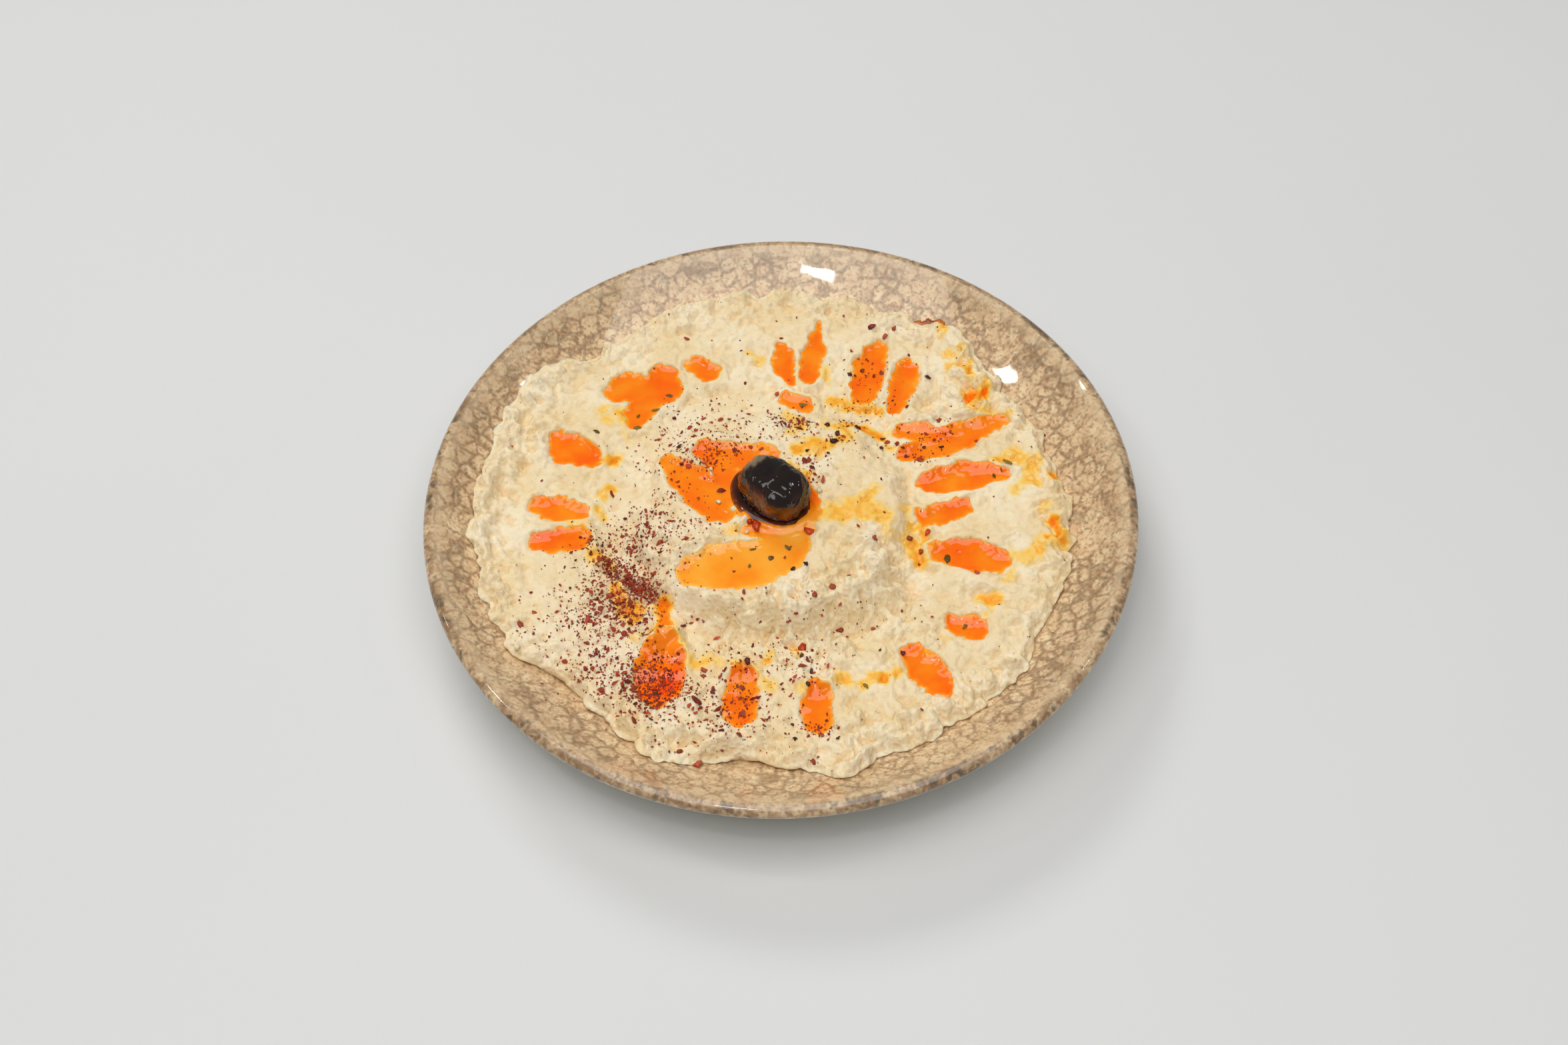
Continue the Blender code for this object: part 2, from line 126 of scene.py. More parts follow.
def nubs(x: Array, y: Array, size: float, seed: int) -> Array:
    """Rounded curds about a size apart, each of its own height.

    A dome stands on a jittered point of each lattice cell. The domes are joined by the fourth root of the sum
    of their fourth powers, which leaves a soft crease where two of them meet, and 0.45 is taken off, which is
    about their mean.

    Args:
        x: Eastward places, in millimetres.
        y: Northward places, in millimetres.
        size: Width of a lattice cell, in millimetres.
        seed: Picks the pattern.

    Returns:
        Heights of about -0.45 to 0.55.
    """
    u, v = x / size, y / size
    ix, iy = np.floor(u).astype(np.int64), np.floor(v).astype(np.int64)
    total = np.zeros(np.shape(u))
    for dx in (-1, 0, 1):
        for dy in (-1, 0, 1):
            draws = [lattice_turn(ix + dx, iy + dy, seed + k) / (2.0 * math.pi) for k in (0, 400, 800)]
            away = (u - ix - dx - draws[0]) ** 2 + (v - iy - dy - draws[1]) ** 2
            total += ((0.3 + 0.7 * draws[2]) * np.clip(1.0 - away / 0.72, 0.0, None)) ** 4
    return total**0.25 - 0.45


def chain_distance(x: Array, y: Array, chain: Chain) -> Array:
    """Distance from points to discs joined by tapering bands, negative inside.

    Args:
        x: Eastward places, in millimetres.
        y: Northward places, in millimetres.
        chain: The discs, as (x, y, radius).

    Returns:
        The signed distances, in millimetres.
    """
    nearest = np.full(np.shape(x), 1e9)
    for (ax, ay, aw), (bx, by, bw) in zip(chain[:-1], chain[1:]):
        run = (bx - ax) ** 2 + (by - ay) ** 2
        t = np.clip(((x - ax) * (bx - ax) + (y - ay) * (by - ay)) / run, 0.0, 1.0)
        away = np.hypot(x - ax - t * (bx - ax), y - ay - t * (by - ay))
        nearest = np.minimum(nearest, away - mix(aw, bw, t))
    return nearest


def disc_grid(cells: int) -> tuple[Array, Array]:
    """A square grid bent into a unit disc, square ring by square ring, so that no cell is a sliver.

    Args:
        cells: Number of cells along a side.

    Returns:
        Grids of x and y.
    """
    a, b = np.meshgrid(np.linspace(-1, 1, cells + 1), np.linspace(-1, 1, cells + 1))
    wide = np.abs(a) >= np.abs(b)
    radius = np.where(wide, a, b)
    safe = np.where(radius == 0.0, 1.0, radius)
    turn = np.where(wide, math.pi / 4 * b / safe, math.pi / 2 - math.pi / 4 * a / safe)
    return radius * np.cos(turn), radius * np.sin(turn)


def ring_quads(rows: int, around: int) -> Array:
    """Quads between rings of points that are numbered ring by ring.

    Args:
        rows: Number of rings.
        around: Number of points in a ring.

    Returns:
        Four point numbers a row: two along a ring, then the two across from them on the next.
    """
    here, start = np.arange(around), np.arange(rows - 1)[:, None] * around
    after = np.roll(here, -1)
    quads = np.stack([start + here, start + after, start + around + after, start + around + here], axis=-1)
    return quads.reshape(-1, 4)


def blurred(field: Array, reach: int) -> Array:
    """A grid's values averaged over a square window.

    Args:
        field: The grid's values.
        reach: How many cells the window reaches each way.

    Returns:
        The averages, on the same grid.
    """
    for axis in (0, 1):
        before, after = (np.take(field, [end] * reach, axis) for end in (0, -1))
        padded = np.concatenate([before, field, after], axis)
        shifts = [np.take(padded, np.arange(field.shape[axis]) + k, axis) for k in range(2 * reach + 1)]
        field = sum(shifts) / len(shifts)
    return field


# Meshes and materials.


@dataclass
class Surface:
    """Points in millimetres, faces as rows of point numbers, and named values for each point."""

    points: Array
    faces: list[Array]
    values: dict[str, Array]

    def piece(self, name: str, finish: bpy.types.Material, smooth: bool = True) -> bpy.types.Object:
        """Makes the mesh object, at the origin and in metres.

        Args:
            name: The piece's name.
            finish: Its one material.
            smooth: Whether its faces are shaded smooth.

        Returns:
            The linked object.
        """
        mesh = bpy.data.meshes.new(name)
        rows = [row for block in self.faces for row in block.tolist()]
        mesh.from_pydata((self.points * MM).tolist(), [], rows)
        for label, numbers in self.values.items():
            layer = mesh.attributes.new(label, "FLOAT", "POINT")
            layer.data.foreach_set("value", np.asarray(numbers, np.float32))
        mesh.polygons.foreach_set("use_smooth", np.full(len(mesh.polygons), smooth))
        mesh.materials.append(finish)
        mesh.update()
        made = bpy.data.objects.new(name, mesh)
        bpy.context.scene.collection.objects.link(made)
        return made


def settle(piece: bpy.types.Object, slot: str, nodes: Sequence[str] = ()) -> None:
    """Rides a piece on the part's one body, hides the solids it stands for, and logs its triangles and slot.

    Args:
        piece: The finished piece.
        slot: The name of the material slot that it stands for, which is only logged.
        nodes: Names of the CAD solids that it replaces.
    """
    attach(piece, BODY)
    if nodes:
        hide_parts(*nodes)
    triangles = sum(len(p.vertices) - 2 for p in piece.data.polygons)
    LOG.info("%s: %d triangles, slot %s", piece.name, triangles, slot)


def linear(code: str) -> tuple[float, float, float, float]:
    """An sRGB hex colour such as "e9d6ab" as linear red, green, blue and alpha."""
    shares = [int(code[i : i + 2], 16) / 255.0 for i in (0, 2, 4)]
    return (*[s / 12.92 if s <= 0.04045 else ((s + 0.055) / 1.055) ** 2.4 for s in shares], 1.0)


def feed(node: bpy.types.Node, inputs: dict) -> None:
    """Sets inputs of a node to constants, and links those that another node gives.

    Args:
        node: The node.
        inputs: A value or an output socket for each input, by name or number.
    """
    for key, value in inputs.items():
        if isinstance(value, bpy.types.NodeSocket):
            node.id_data.links.new(value, node.inputs[key])
        else:
            node.inputs[key].default_value = value


def add_node(
    tree: bpy.types.NodeTree, kind: str, inputs: dict, out: int | str = 0, stops: Sequence = (), **settings
) -> bpy.types.NodeSocket:
    """Adds a shader node with its settings, its links and, on a colour ramp, its stops.

    Args:
        tree: The node tree.
        kind: The node's type without its "ShaderNode".
        inputs: A value or an output socket for each input, by name or number.
        out: The output that is wanted, by name or number.
        stops: (place, hex colour) pairs of a colour ramp, the first two of them its ends.
        **settings: The node's own properties.

    Returns:
        The wanted output.
    """
    made = tree.nodes.new("ShaderNode" + kind)
    for key, value in settings.items():
        setattr(made, key, value)
    feed(made, inputs)
    for number, (place, code) in enumerate(stops):
        ramp = made.color_ramp.elements
        stop = ramp[number] if number < 2 else ramp.new(place)
        stop.position = place
        stop.color = linear(code)
    return made.outputs[out]


def per_mm(size: float) -> float:
    """The scale that gives a pattern on Object coordinates, which are in metres, a size in millimetres."""
    return 1.0 / (size * MM)


AddNode = Callable[..., bpy.types.NodeSocket]
SMOOTH = {"interpolation_type": "SMOOTHSTEP"}
COLOURS = {"data_type": "RGBA"}
TIMES = {"operation": "MULTIPLY"}
TIMES_PLUS = {"operation": "MULTIPLY_ADD"}


class Finish:
    """What the finishes share: a new material with a Principled shader, which dress() gives its nodes.

    Its nodes read Object coordinates in metres, or a number that the mesh stores for each point. Inputs 0, 6
    and 7 of a Mix node are its share and two colours. Inputs 0 to 4 of a MapRange node are a value, the span
    that the value lies in, and the numbers that the span's ends become.
    """

    name = "plain"

    def material(self) -> bpy.types.Material:
        """Makes the finish.

        Returns:
            The new Blender material.
        """
        made = bpy.data.materials.new(self.name)
        made.use_nodes = True
        self.dress(partial(add_node, made.node_tree), made.node_tree.nodes["Principled BSDF"])
        return made

    def dress(self, add: AddNode, shader: bpy.types.Node) -> None:
        """Adds the nodes of this finish to the shader."""
        raise NotImplementedError


GREEN_LOSS = -1.25
BLUE_LOSS = -5.0


def oil_tint(add: AddNode, depth: bpy.types.NodeSocket) -> bpy.types.NodeSocket:
    """What chilli oil leaves of white light: red whole, green and blue e to their loss a millimetre.

    Args:
        add: Adds a node to the material and gives its output.
        depth: The oil's depth, in millimetres.

    Returns:
        The tint, as a colour.
    """
    left = [
        add("Math", {0: add("Math", {0: depth, 1: loss}, **TIMES)}, operation="EXPONENT")
        for loss in (GREEN_LOSS, BLUE_LOSS)
    ]
    return add("CombineColor", {0: 1.0, 1: left[0], 2: left[1]})


@dataclass(frozen=True)
class CrackleGlaze(Finish):
    """Stoneware under a clear reactive glaze: wet gloss over warm beige, netted with soft brown crackle.

    The crackle is made of iron specks, so it is blurred and breaks off. A pale band is painted over the crest
    of the lip as a highlight, the glaze is blotched dark just outside, and a bare greenish white further
    down. Sizes
    are in millimetres: the cells of the coarse and the fine net, how far and over what length their lines
    sway, and the glaze's clouds, mottling and grain.
    """

    name = "crackle_glazed_stoneware"
    cell: float = 4.4
    fine_cell: float = 2.4
    sway: float = 2.6
    sway_length: float = 7.0
    cloud_size: float = 12.0
    mottle_size: float = 3.0
    grain_size: float = 1.0
    ground: tuple = ((0.28, "d6b389"), (0.74, "f2dcb2"), (0.52, "e6c89b"))
    fleck: str = "cb9a72"
    iron: str = "7f5c3c"
    # thin: the pale colour of the highlight that is painted along the crest of the lip.
    thin: str = "dcc4a0"
    pooled: str = "7a5c40"
    blot: str = "54422f"
    bare: str = "d6d4c2"

    def dress(self, add: AddNode, shader: bpy.types.Node) -> None:
        """Ground, flecks, two nets of crackle, painted crest highlight, blotched band and bare outside, in
        that order.

        Args:
            add: Adds a node to the material and gives its output.
            shader: The Principled shader.
        """
        place = add("TexCoord", {}, "Object")
        drift = add("TexNoise", {"Vector": place, "Scale": per_mm(self.sway_length), "Detail": 2.0}, "Color")
        centred = add("VectorMath", {0: drift, 1: (0.5, 0.5, 0.5)}, operation="SUBTRACT")
        pushed = add("VectorMath", {0: centred, 3: self.sway * MM}, operation="SCALE")
        warped = add("VectorMath", {0: place, 1: pushed}, operation="ADD")
        cloud = add("TexNoise", {"Vector": place, "Scale": per_mm(self.cloud_size), "Detail": 3.0})
        mottle = add("TexNoise", {"Vector": place, "Scale": per_mm(self.mottle_size), "Detail": 4.0})
        grain = add("TexNoise", {"Vector": place, "Scale": per_mm(self.grain_size), "Detail": 2.0})
        colour = add("ValToRGB", {0: mottle}, stops=self.ground)
        share = add("MapRange", {0: grain, 1: 0.5, 2: 0.62, 4: 0.7}, **SMOOTH)
        colour = add("Mix", {0: share, 6: colour, 7: linear(self.fleck)}, 2, **COLOURS)
        fine = add("Math", {0: self.crackle(add, warped, cloud, self.fine_cell, 0.32), 1: 0.5}, **TIMES)
        net = self.crackle(add, warped, cloud, self.cell, 0.30)
        net = add("Math", {0: net, 1: fine}, operation="MAXIMUM")
        specks = add("Math", {0: net, 1: grain}, operation="ADD")
        share = add("MapRange", {0: specks, 1: 0.7, 2: 1.6, 4: 0.66}, **SMOOTH)
        colour = add("Mix", {0: share, 6: colour, 7: linear(self.iron)}, 2, **COLOURS)
        # Painted highlight: a pale band along the crest of the lip, standing in for the lamps' reflection
        # there.
        share = add("MapRange", {0: mottle, 1: 0.3, 2: 0.6, 3: 0.3, 4: 0.5}, **SMOOTH)
        share = add("Math", {0: add("Attribute", {}, "Fac", attribute_name="crest"), 1: share}, **TIMES)
        colour = add("Mix", {0: share, 6: colour, 7: linear(self.thin)}, 2, **COLOURS)
        lip = add("Attribute", {}, "Fac", attribute_name="lip_band")
        share = add("MapRange", {0: mottle, 1: 0.66, 2: 0.36, 3: 0.12, 4: 0.5}, **SMOOTH)
        share = add("Math", {0: lip, 1: share}, **TIMES)
        colour = add("Mix", {0: share, 6: colour, 7: linear(self.pooled)}, 2, **COLOURS)
        blotch = add("Math", {0: mottle, 1: 0.9, 2: cloud}, **TIMES_PLUS)
        share = add("MapRange", {0: blotch, 1: 1.0, 2: 1.14, 4: 0.75}, **SMOOTH)
        share = add("Math", {0: lip, 1: share}, **TIMES)
        colour = add("Mix", {0: share, 6: colour, 7: linear(self.blot)}, 2, **COLOURS)
        outside = add("Attribute", {}, "Fac", attribute_name="bare_foot")
        outside = add("Math", {0: mottle, 1: 0.2, 2: outside}, **TIMES_PLUS)
        share = add("MapRange", {0: outside, 1: 0.2, 2: 0.95}, **SMOOTH)
        colour = add("Mix", {0: share, 6: colour, 7: linear(self.bare)}, 2, **COLOURS)
        wave = add("TexNoise", {"Vector": place, "Scale": per_mm(9.0), "Detail": 1.0})
        bump = add("Bump", {"Height": wave, "Distance": 0.1 * MM, "Strength": 1.0})
        feed(shader, {
            "Base Color": colour, "Normal": bump, "Coat Normal": bump, "Roughness": 0.32, "IOR": 1.45,
            "Specular IOR Level": 0.35, "Coat Weight": 1.0, "Coat Roughness": 0.04, "Coat IOR": 1.45,
        })

    @staticmethod
    def crackle(
        add: AddNode, place: bpy.types.NodeSocket, cloud: bpy.types.NodeSocket, cell: float, width: float
    ) -> bpy.types.NodeSocket:
        """Soft lines between the cells of a net: near 1 on a line, and faded where the cloud is thin.

        Args:
            add: Adds a node to the material and gives its output.
            place: The swayed coordinates.
            cloud: Noise that fades the lines.
            cell: Size of a cell, in millimetres.
            width: How far a line's blur reaches, as a share of a cell.

        Returns:
            The lines' strength.
        """
        net = {"Vector": place, "Scale": per_mm(cell)}
        edge = add("TexVoronoi", net, "Distance", feature="DISTANCE_TO_EDGE")
        line = add("MapRange", {0: edge, 1: width, 2: 0.0}, **SMOOTH)
        strength = add("MapRange", {0: cloud, 1: 0.32, 2: 0.6, 3: 0.55}, **SMOOTH)
        return add("Math", {0: line, 1: strength}, **TIMES)


@dataclass(frozen=True)
class ChickpeaPaste(Finish):
    """Chickpeas and tahini beaten to a moist paste: soft cream, a little light under the skin, fine curds.

    Oil on it is a clear film that gathers in the hollows, so the paste turns yellow and then orange under it.
    Sizes are in millimetres: clouds of tone, grains of chickpea skin, and the domes of the curds.
    """

    name = "chickpea_tahini_paste"
    cloud_size: float = 14.0
    grain_size: float = 1.3
    dome_size: float = 1.4
    light: str = "f7e7c6"
    warm: str = "efd7a8"
    # crease: the warm dark colour of painted shade in the paste's hollows.
    crease: str = "e2b976"
    soaked: str = "fff0cc"
    stain: str = "b05a48"

    def dress(self, add: AddNode, shader: bpy.types.Node) -> None:
        """Cream with warm clouds, painted shade in the creases, oil film, sumac stain, and a bump of curds
        under 1.5 mm.

        Args:
            add: Adds a node to the material and gives its output.
            shader: The Principled shader.
        """
        place = add("TexCoord", {}, "Object")
        labels = ("hollow", "film_mm", "dust", "rough")
        hollow, film, dust, rough = (add("Attribute", {}, "Fac", attribute_name=label) for label in labels)
        cloud = add("TexNoise", {"Vector": place, "Scale": per_mm(self.cloud_size), "Detail": 4.0})
        curd = add("TexNoise", {"Vector": place, "Scale": per_mm(self.grain_size), "Detail": 3.0})
        tone = add("Math", {0: curd, 1: 0.3, 2: cloud}, **TIMES_PLUS)
        share = add("MapRange", {0: tone, 1: 0.45, 2: 0.85}, **SMOOTH)
        colour = add("Mix", {0: share, 6: linear(self.warm), 7: linear(self.light)}, 2, **COLOURS)
        # Painted shade: the hollows are darkened towards the crease colour, as if shade fell in them.
        share = add("MapRange", {0: hollow, 1: 0.3, 2: 2.0, 4: 0.4}, **SMOOTH)
        colour = add("Mix", {0: share, 6: colour, 7: linear(self.crease)}, 2, **COLOURS)
        gather = add("MapRange", {0: hollow, 1: -1.0, 2: 0.9, 3: 0.85, 4: 1.3}, **SMOOTH)
        film = add("Math", {0: film, 1: gather}, **TIMES)
        share = add("MapRange", {0: film, 1: 0.03, 2: 0.25}, **SMOOTH)
        colour = add("Mix", {0: share, 6: colour, 7: linear(self.soaked)}, 2, **COLOURS)
        colour = add("Mix", {0: 1.0, 6: colour, 7: oil_tint(add, film)}, 2, blend_type="MULTIPLY", **COLOURS)
        share = add("Math", {0: dust, 1: add("MapRange", {0: curd, 1: 0.44, 2: 0.62}, **SMOOTH)}, **TIMES)
        colour = add("Mix", {0: share, 6: colour, 7: linear(self.stain)}, 2, **COLOURS)
        gloss = add("MapRange", {0: film, 1: 0.02, 2: 0.2, 3: 0.42, 4: 0.18}, **SMOOTH)
        domes = add("TexVoronoi", {"Vector": place, "Scale": per_mm(self.dome_size)}, feature="SMOOTH_F1")
        heap = add("Math", {0: add("Math", {0: curd, 1: 0.6}, **TIMES), 1: domes}, operation="SUBTRACT")
        strength = add("MapRange", {0: rough, 1: 0.2, 2: 1.0, 3: 0.5, 4: 1.1}, **SMOOTH)
        height = add("Math", {0: heap, 1: strength}, **TIMES)
        bump = add("Bump", {"Height": height, "Distance": 0.55 * MM, "Strength": 1.0})
        feed(shader, {
            "Base Color": colour, "Roughness": gloss, "Normal": bump, "IOR": 1.4, "Subsurface Weight": 0.4,
            "Subsurface Radius": (1.0, 0.62, 0.3), "Subsurface Scale": 1.1 * MM,
        })


@dataclass(frozen=True)
class ChilliOil(Finish):
    """Olive oil reddened by chilli, lying clear over the paste: yellow where thin, orange-red where deep."""

    name = "chilli_oil"
    paste: str = "ffe2b0"

    def dress(self, add: AddNode, shader: bpy.types.Node) -> None:
        """The paste's cream seen through the mesh's stored depth of oil, clouded by drifting chilli dust.

        Args:
            add: Adds a node to the material and gives its output.
            shader: The Principled shader.
        """
        place = add("TexCoord", {}, "Object")
        dust = add("TexNoise", {"Vector": place, "Scale": per_mm(4.2), "Detail": 4.0})
        share = add("MapRange", {0: dust, 1: 0.3, 2: 0.7, 3: 0.9, 4: 1.1}, **SMOOTH)
        depth = add("Math", {0: add("Attribute", {}, "Fac", attribute_name="depth_mm"), 1: share}, **TIMES)
        tint = oil_tint(add, depth)
        colour = add("Mix", {0: 1.0, 6: tint, 7: linear(self.paste)}, 2, blend_type="MULTIPLY", **COLOURS)
        feed(shader, {"Base Color": colour, "Roughness": 0.05, "IOR": 1.47})


@dataclass(frozen=True)
class OliveSkin(Finish):
    """A dry-cured olive: near-black skin in smooth puckers, wet with oil, so that they mirror the lamps."""

    name = "dry_cured_olive_skin"
    skin: tuple = ((0.40, "150b08"), (0.9, "4a2a12"), (0.62, "22110b"))
    amber: tuple[str, str] = ("2e1206", "84400e")
    flesh: str = "8a755c"

    def dress(self, add: AddNode, shader: bpy.types.Node) -> None:
        """Brown-black skin, amber where oil has soaked it and paler in a scar where the flesh shows through.

        Args:
            add: Adds a node to the material and gives its output.
            shader: The Principled shader.
        """
        place = add("TexCoord", {}, "Object")
        soaked, scar = (add("Attribute", {}, "Fac", attribute_name=label) for label in ("soaked", "scar"))
        cloud = add("TexNoise", {"Vector": place, "Scale": per_mm(5.0), "Detail": 4.0})
        share = add("MapRange", {0: cloud, 1: 0.35, 2: 0.65}, **SMOOTH)
        amber = add("Mix", {0: share, 6: linear(self.amber[0]), 7: linear(self.amber[1])}, 2, **COLOURS)
        colour = add("ValToRGB", {0: cloud}, stops=self.skin)
        colour = add("Mix", {0: soaked, 6: colour, 7: amber}, 2, **COLOURS)
        colour = add("Mix", {0: scar, 6: colour, 7: linear(self.flesh)}, 2, **COLOURS)
        feed(shader, {"Base Color": colour, "Roughness": 0.09, "IOR": 1.62})


@dataclass(frozen=True)
class AmberOil(Finish):
    """Thick dark oil drawn up round the olive: brown-black against the skin and amber at its outer foot."""

    name = "amber_oil_collar"
    tones: tuple = ((0.0, "180a05"), (1.0, "b8641c"), (0.3, "3c1808"), (0.55, "5c280c"), (0.8, "843c10"))

    def dress(self, add: AddNode, shader: bpy.types.Node) -> None:
        """The tones run over the oil by the share stored in the mesh, clouded a little.

        Args:
            add: Adds a node to the material and gives its output.
            shader: The Principled shader.
        """
        place = add("TexCoord", {}, "Object")
        cloud = add("TexNoise", {"Vector": place, "Scale": per_mm(3.5), "Detail": 3.0})
        drift = add("MapRange", {0: cloud, 1: 0.3, 2: 0.7, 3: -0.2, 4: 0.2}, **SMOOTH)
        thin = add("Attribute", {}, "Fac", attribute_name="thin")
        share = add("Math", {0: thin, 1: drift}, operation="ADD")
        colour = add("ValToRGB", {0: share}, stops=self.tones)
        feed(shader, {"Base Color": colour, "Roughness": 0.05, "IOR": 1.47})


@dataclass(frozen=True)
class DriedFlake(Finish):
    """Crushed dried berry or herb: dull, a little oily, and each chip of its own tone.

    Real grit is finer than 0.1 mm. It is drawn at 0.35 mm, so that it shows.
    """

    name: str = "crushed_sumac"
    dark: str = "5c160e"
    light: str = "bc4a2a"
    roughness: float = 0.5
    grit: float = 0.35

    def dress(self, add: AddNode, shader: bpy.types.Node) -> None:
        """The chip's stored tone picks a colour between dark and light, and fine grit mottles it.

        Args:
            add: Adds a node to the material and gives its output.
            shader: The Principled shader.
        """
        place = add("TexCoord", {}, "Object")
        noise = add("TexNoise", {"Vector": place, "Scale": per_mm(self.grit), "Detail": 2.0})
        drift = add("MapRange", {0: noise, 1: 0.3, 2: 0.7, 3: -0.2, 4: 0.2}, **SMOOTH)
        tone = add("Math", {0: add("Attribute", {}, "Fac", attribute_name="tone"), 1: drift}, operation="ADD")
        colour = add("ValToRGB", {0: tone}, stops=((0.0, self.dark), (1.0, self.light)))
        feed(shader, {"Base Color": colour, "Roughness": self.roughness, "IOR": 1.4})


@dataclass(frozen=True)
class PaleTable(Finish):
    """A matt white table top, with nothing on it that could be taken for part of the dish."""

    name = "pale_table"
    tones: tuple[str, str] = ("dcdcdb", "e1e1e0")

    def dress(self, add: AddNode, shader: bpy.types.Node) -> None:
        """An almost even white with the faintest cloud.

        Args:
            add: Adds a node to the material and gives its output.
            shader: The Principled shader.
        """
        place = add("TexCoord", {}, "Object")
        cloud = add("TexNoise", {"Vector": place, "Scale": per_mm(240.0), "Detail": 2.0})
        colour = add("Mix", {0: cloud, 6: linear(self.tones[0]), 7: linear(self.tones[1])}, 2, **COLOURS)
        feed(shader, {"Base Color": colour, "Roughness": 0.6})


# The plate.


@dataclass
class CoupePlate:
    """A turned coupe plate: flat middle, walls that curve up to a rolled lip, and a foot ring."""

    radius: float
    height: float
    floor_z: float = 5.5
    flat_radius: float = 45.0
    curve: float = 0.0072
    wall_top: float = 94.6
    crest: float = 97.0
    widest_z: float = 23.0
    wall: float = 4.2
    foot_outer: float = 52.0
    foot_inner: float = 46.0
    segments: int = 360
    bottom_z: float = 2.1

    def floor(self, radius: Array | float) -> Array:
        """Height of the inner face: flat in the middle, then a parabola up the wall."""
        return self.floor_z + self.curve * np.clip(radius - self.flat_radius, 0.0, None) ** 2

    def outside(self, radius: Array) -> Array:
        """Height of the outer face under the inner one, a wall's thickness away along the normal."""
        slope = 2.0 * self.curve * np.clip(radius - self.flat_radius, 0.0, None)
        return self.floor(radius) - self.wall * np.hypot(1.0, slope)

    def section(self) -> Array:
        """Radius and height down the section, from the middle of the floor over the lip to the middle below.

        The lip is a quadratic curve from the wall's slope over the crest, then an arc to the widest place and
        back in.

        Returns:
            Rows of radius and height, in millimetres.
        """
        inner_r = np.concatenate([[0.0], np.linspace(20.0, self.wall_top, 44)])
        inner = np.stack([inner_r, self.floor(inner_r)], axis=-1)
        start, crest = inner[-1], np.array([self.crest, self.height])
        slope = 2.0 * self.curve * (self.wall_top - self.flat_radius)
        t = np.linspace(0.0, 1.0, 9)[1:, None]
        handle = start + (crest - start) * (0.5, 0.0) + (0.0, 0.5 * slope * (crest - start)[0])
        over = (1 - t) ** 2 * start + 2 * t * (1 - t) * handle + t**2 * crest
        widest = np.array([self.radius, self.widest_z])
        turn = np.linspace(0.0, math.pi / 2, 9)[1:]
        shoulder = crest + (widest - crest) * np.stack([np.sin(turn), 1.0 - np.cos(turn)], axis=-1)
        tuck = np.array([[self.radius - 0.12, self.widest_z - 0.7], [self.radius - 0.7, self.widest_z - 1.6]])
        outer_r = np.linspace(self.wall_top, self.foot_outer + 3.0, 26)
        outer = np.stack([outer_r, self.outside(outer_r)], axis=-1)
        foot = np.array([
            (self.foot_outer + 1.2, 2.0), (self.foot_outer + 0.5, 0.9), (self.foot_outer - 0.2, 0.15),
            (self.foot_outer - 1.0, 0.0), (self.foot_inner + 1.0, 0.0), (self.foot_inner + 0.2, 0.15),
            (self.foot_inner - 0.6, 0.9), (self.foot_inner - 1.4, 1.8),
            (40.0, self.bottom_z), (20.0, self.bottom_z), (0.0, self.bottom_z),
        ])
        return np.concatenate([inner, over, shoulder, tuck, outer, foot])

    def build(self) -> bpy.types.Object:
        """Turns the section round Z: point (section, angle) is (r cos a, r sin a, z).

        The bands that the glaze reads are bells and steps of the distance along the section past the crest.

        Returns:
            The plate.
        """
        section = self.section()
        angle = np.linspace(0.0, 2.0 * math.pi, self.segments, endpoint=False)
        body = section[1:-1]
        ring = np.stack([np.cos(angle), np.sin(angle)], axis=-1)
        high = np.broadcast_to(body[:, None, 1:], (len(body), self.segments, 1))
        points = np.concatenate([body[:, None, :1] * ring[None], high], axis=-1).reshape(-1, 3)
        ends = np.array([[0.0, 0.0, section[0, 1]], [0.0, 0.0, section[-1, 1]]])
        quads = ring_quads(len(body), self.segments)[:, [0, 3, 2, 1]]
        here = np.arange(self.segments)
        after = np.roll(here, -1)
        last = (len(body) - 1) * self.segments
        top = np.stack([np.full_like(here, len(points)), here, after], axis=-1)
        under = np.stack([last + here, np.full_like(here, len(points) + 1), last + after], axis=-1)
        along = np.concatenate([[0.0], np.cumsum(np.hypot(*np.diff(body, axis=0).T))])
        past = along - along[np.argmax(body[:, 1])]
        bands = {
            # The crest bell marks where the glaze's painted highlight lies, just inside the crest.
            "crest": np.exp(-(((past + 1.2) / 1.7) ** 2)),
            "lip_band": smoothstep(-0.4, 1.2, past) * smoothstep(7.5, 4.0, past)
            + 0.35 * np.exp(-(((past + 5.0) / 2.5) ** 2)),
            "bare_foot": smoothstep(4.4, 9.0, past),
        }
        values = {
            label: np.append(np.repeat(band, self.segments), [0.0, band[-1]]) for label, band in bands.items()
        }
        surface = Surface(np.concatenate([points, ends]), [quads, top, under], values)
        return surface.piece("glazed_plate", CrackleGlaze().material())


# The oil and the paste.


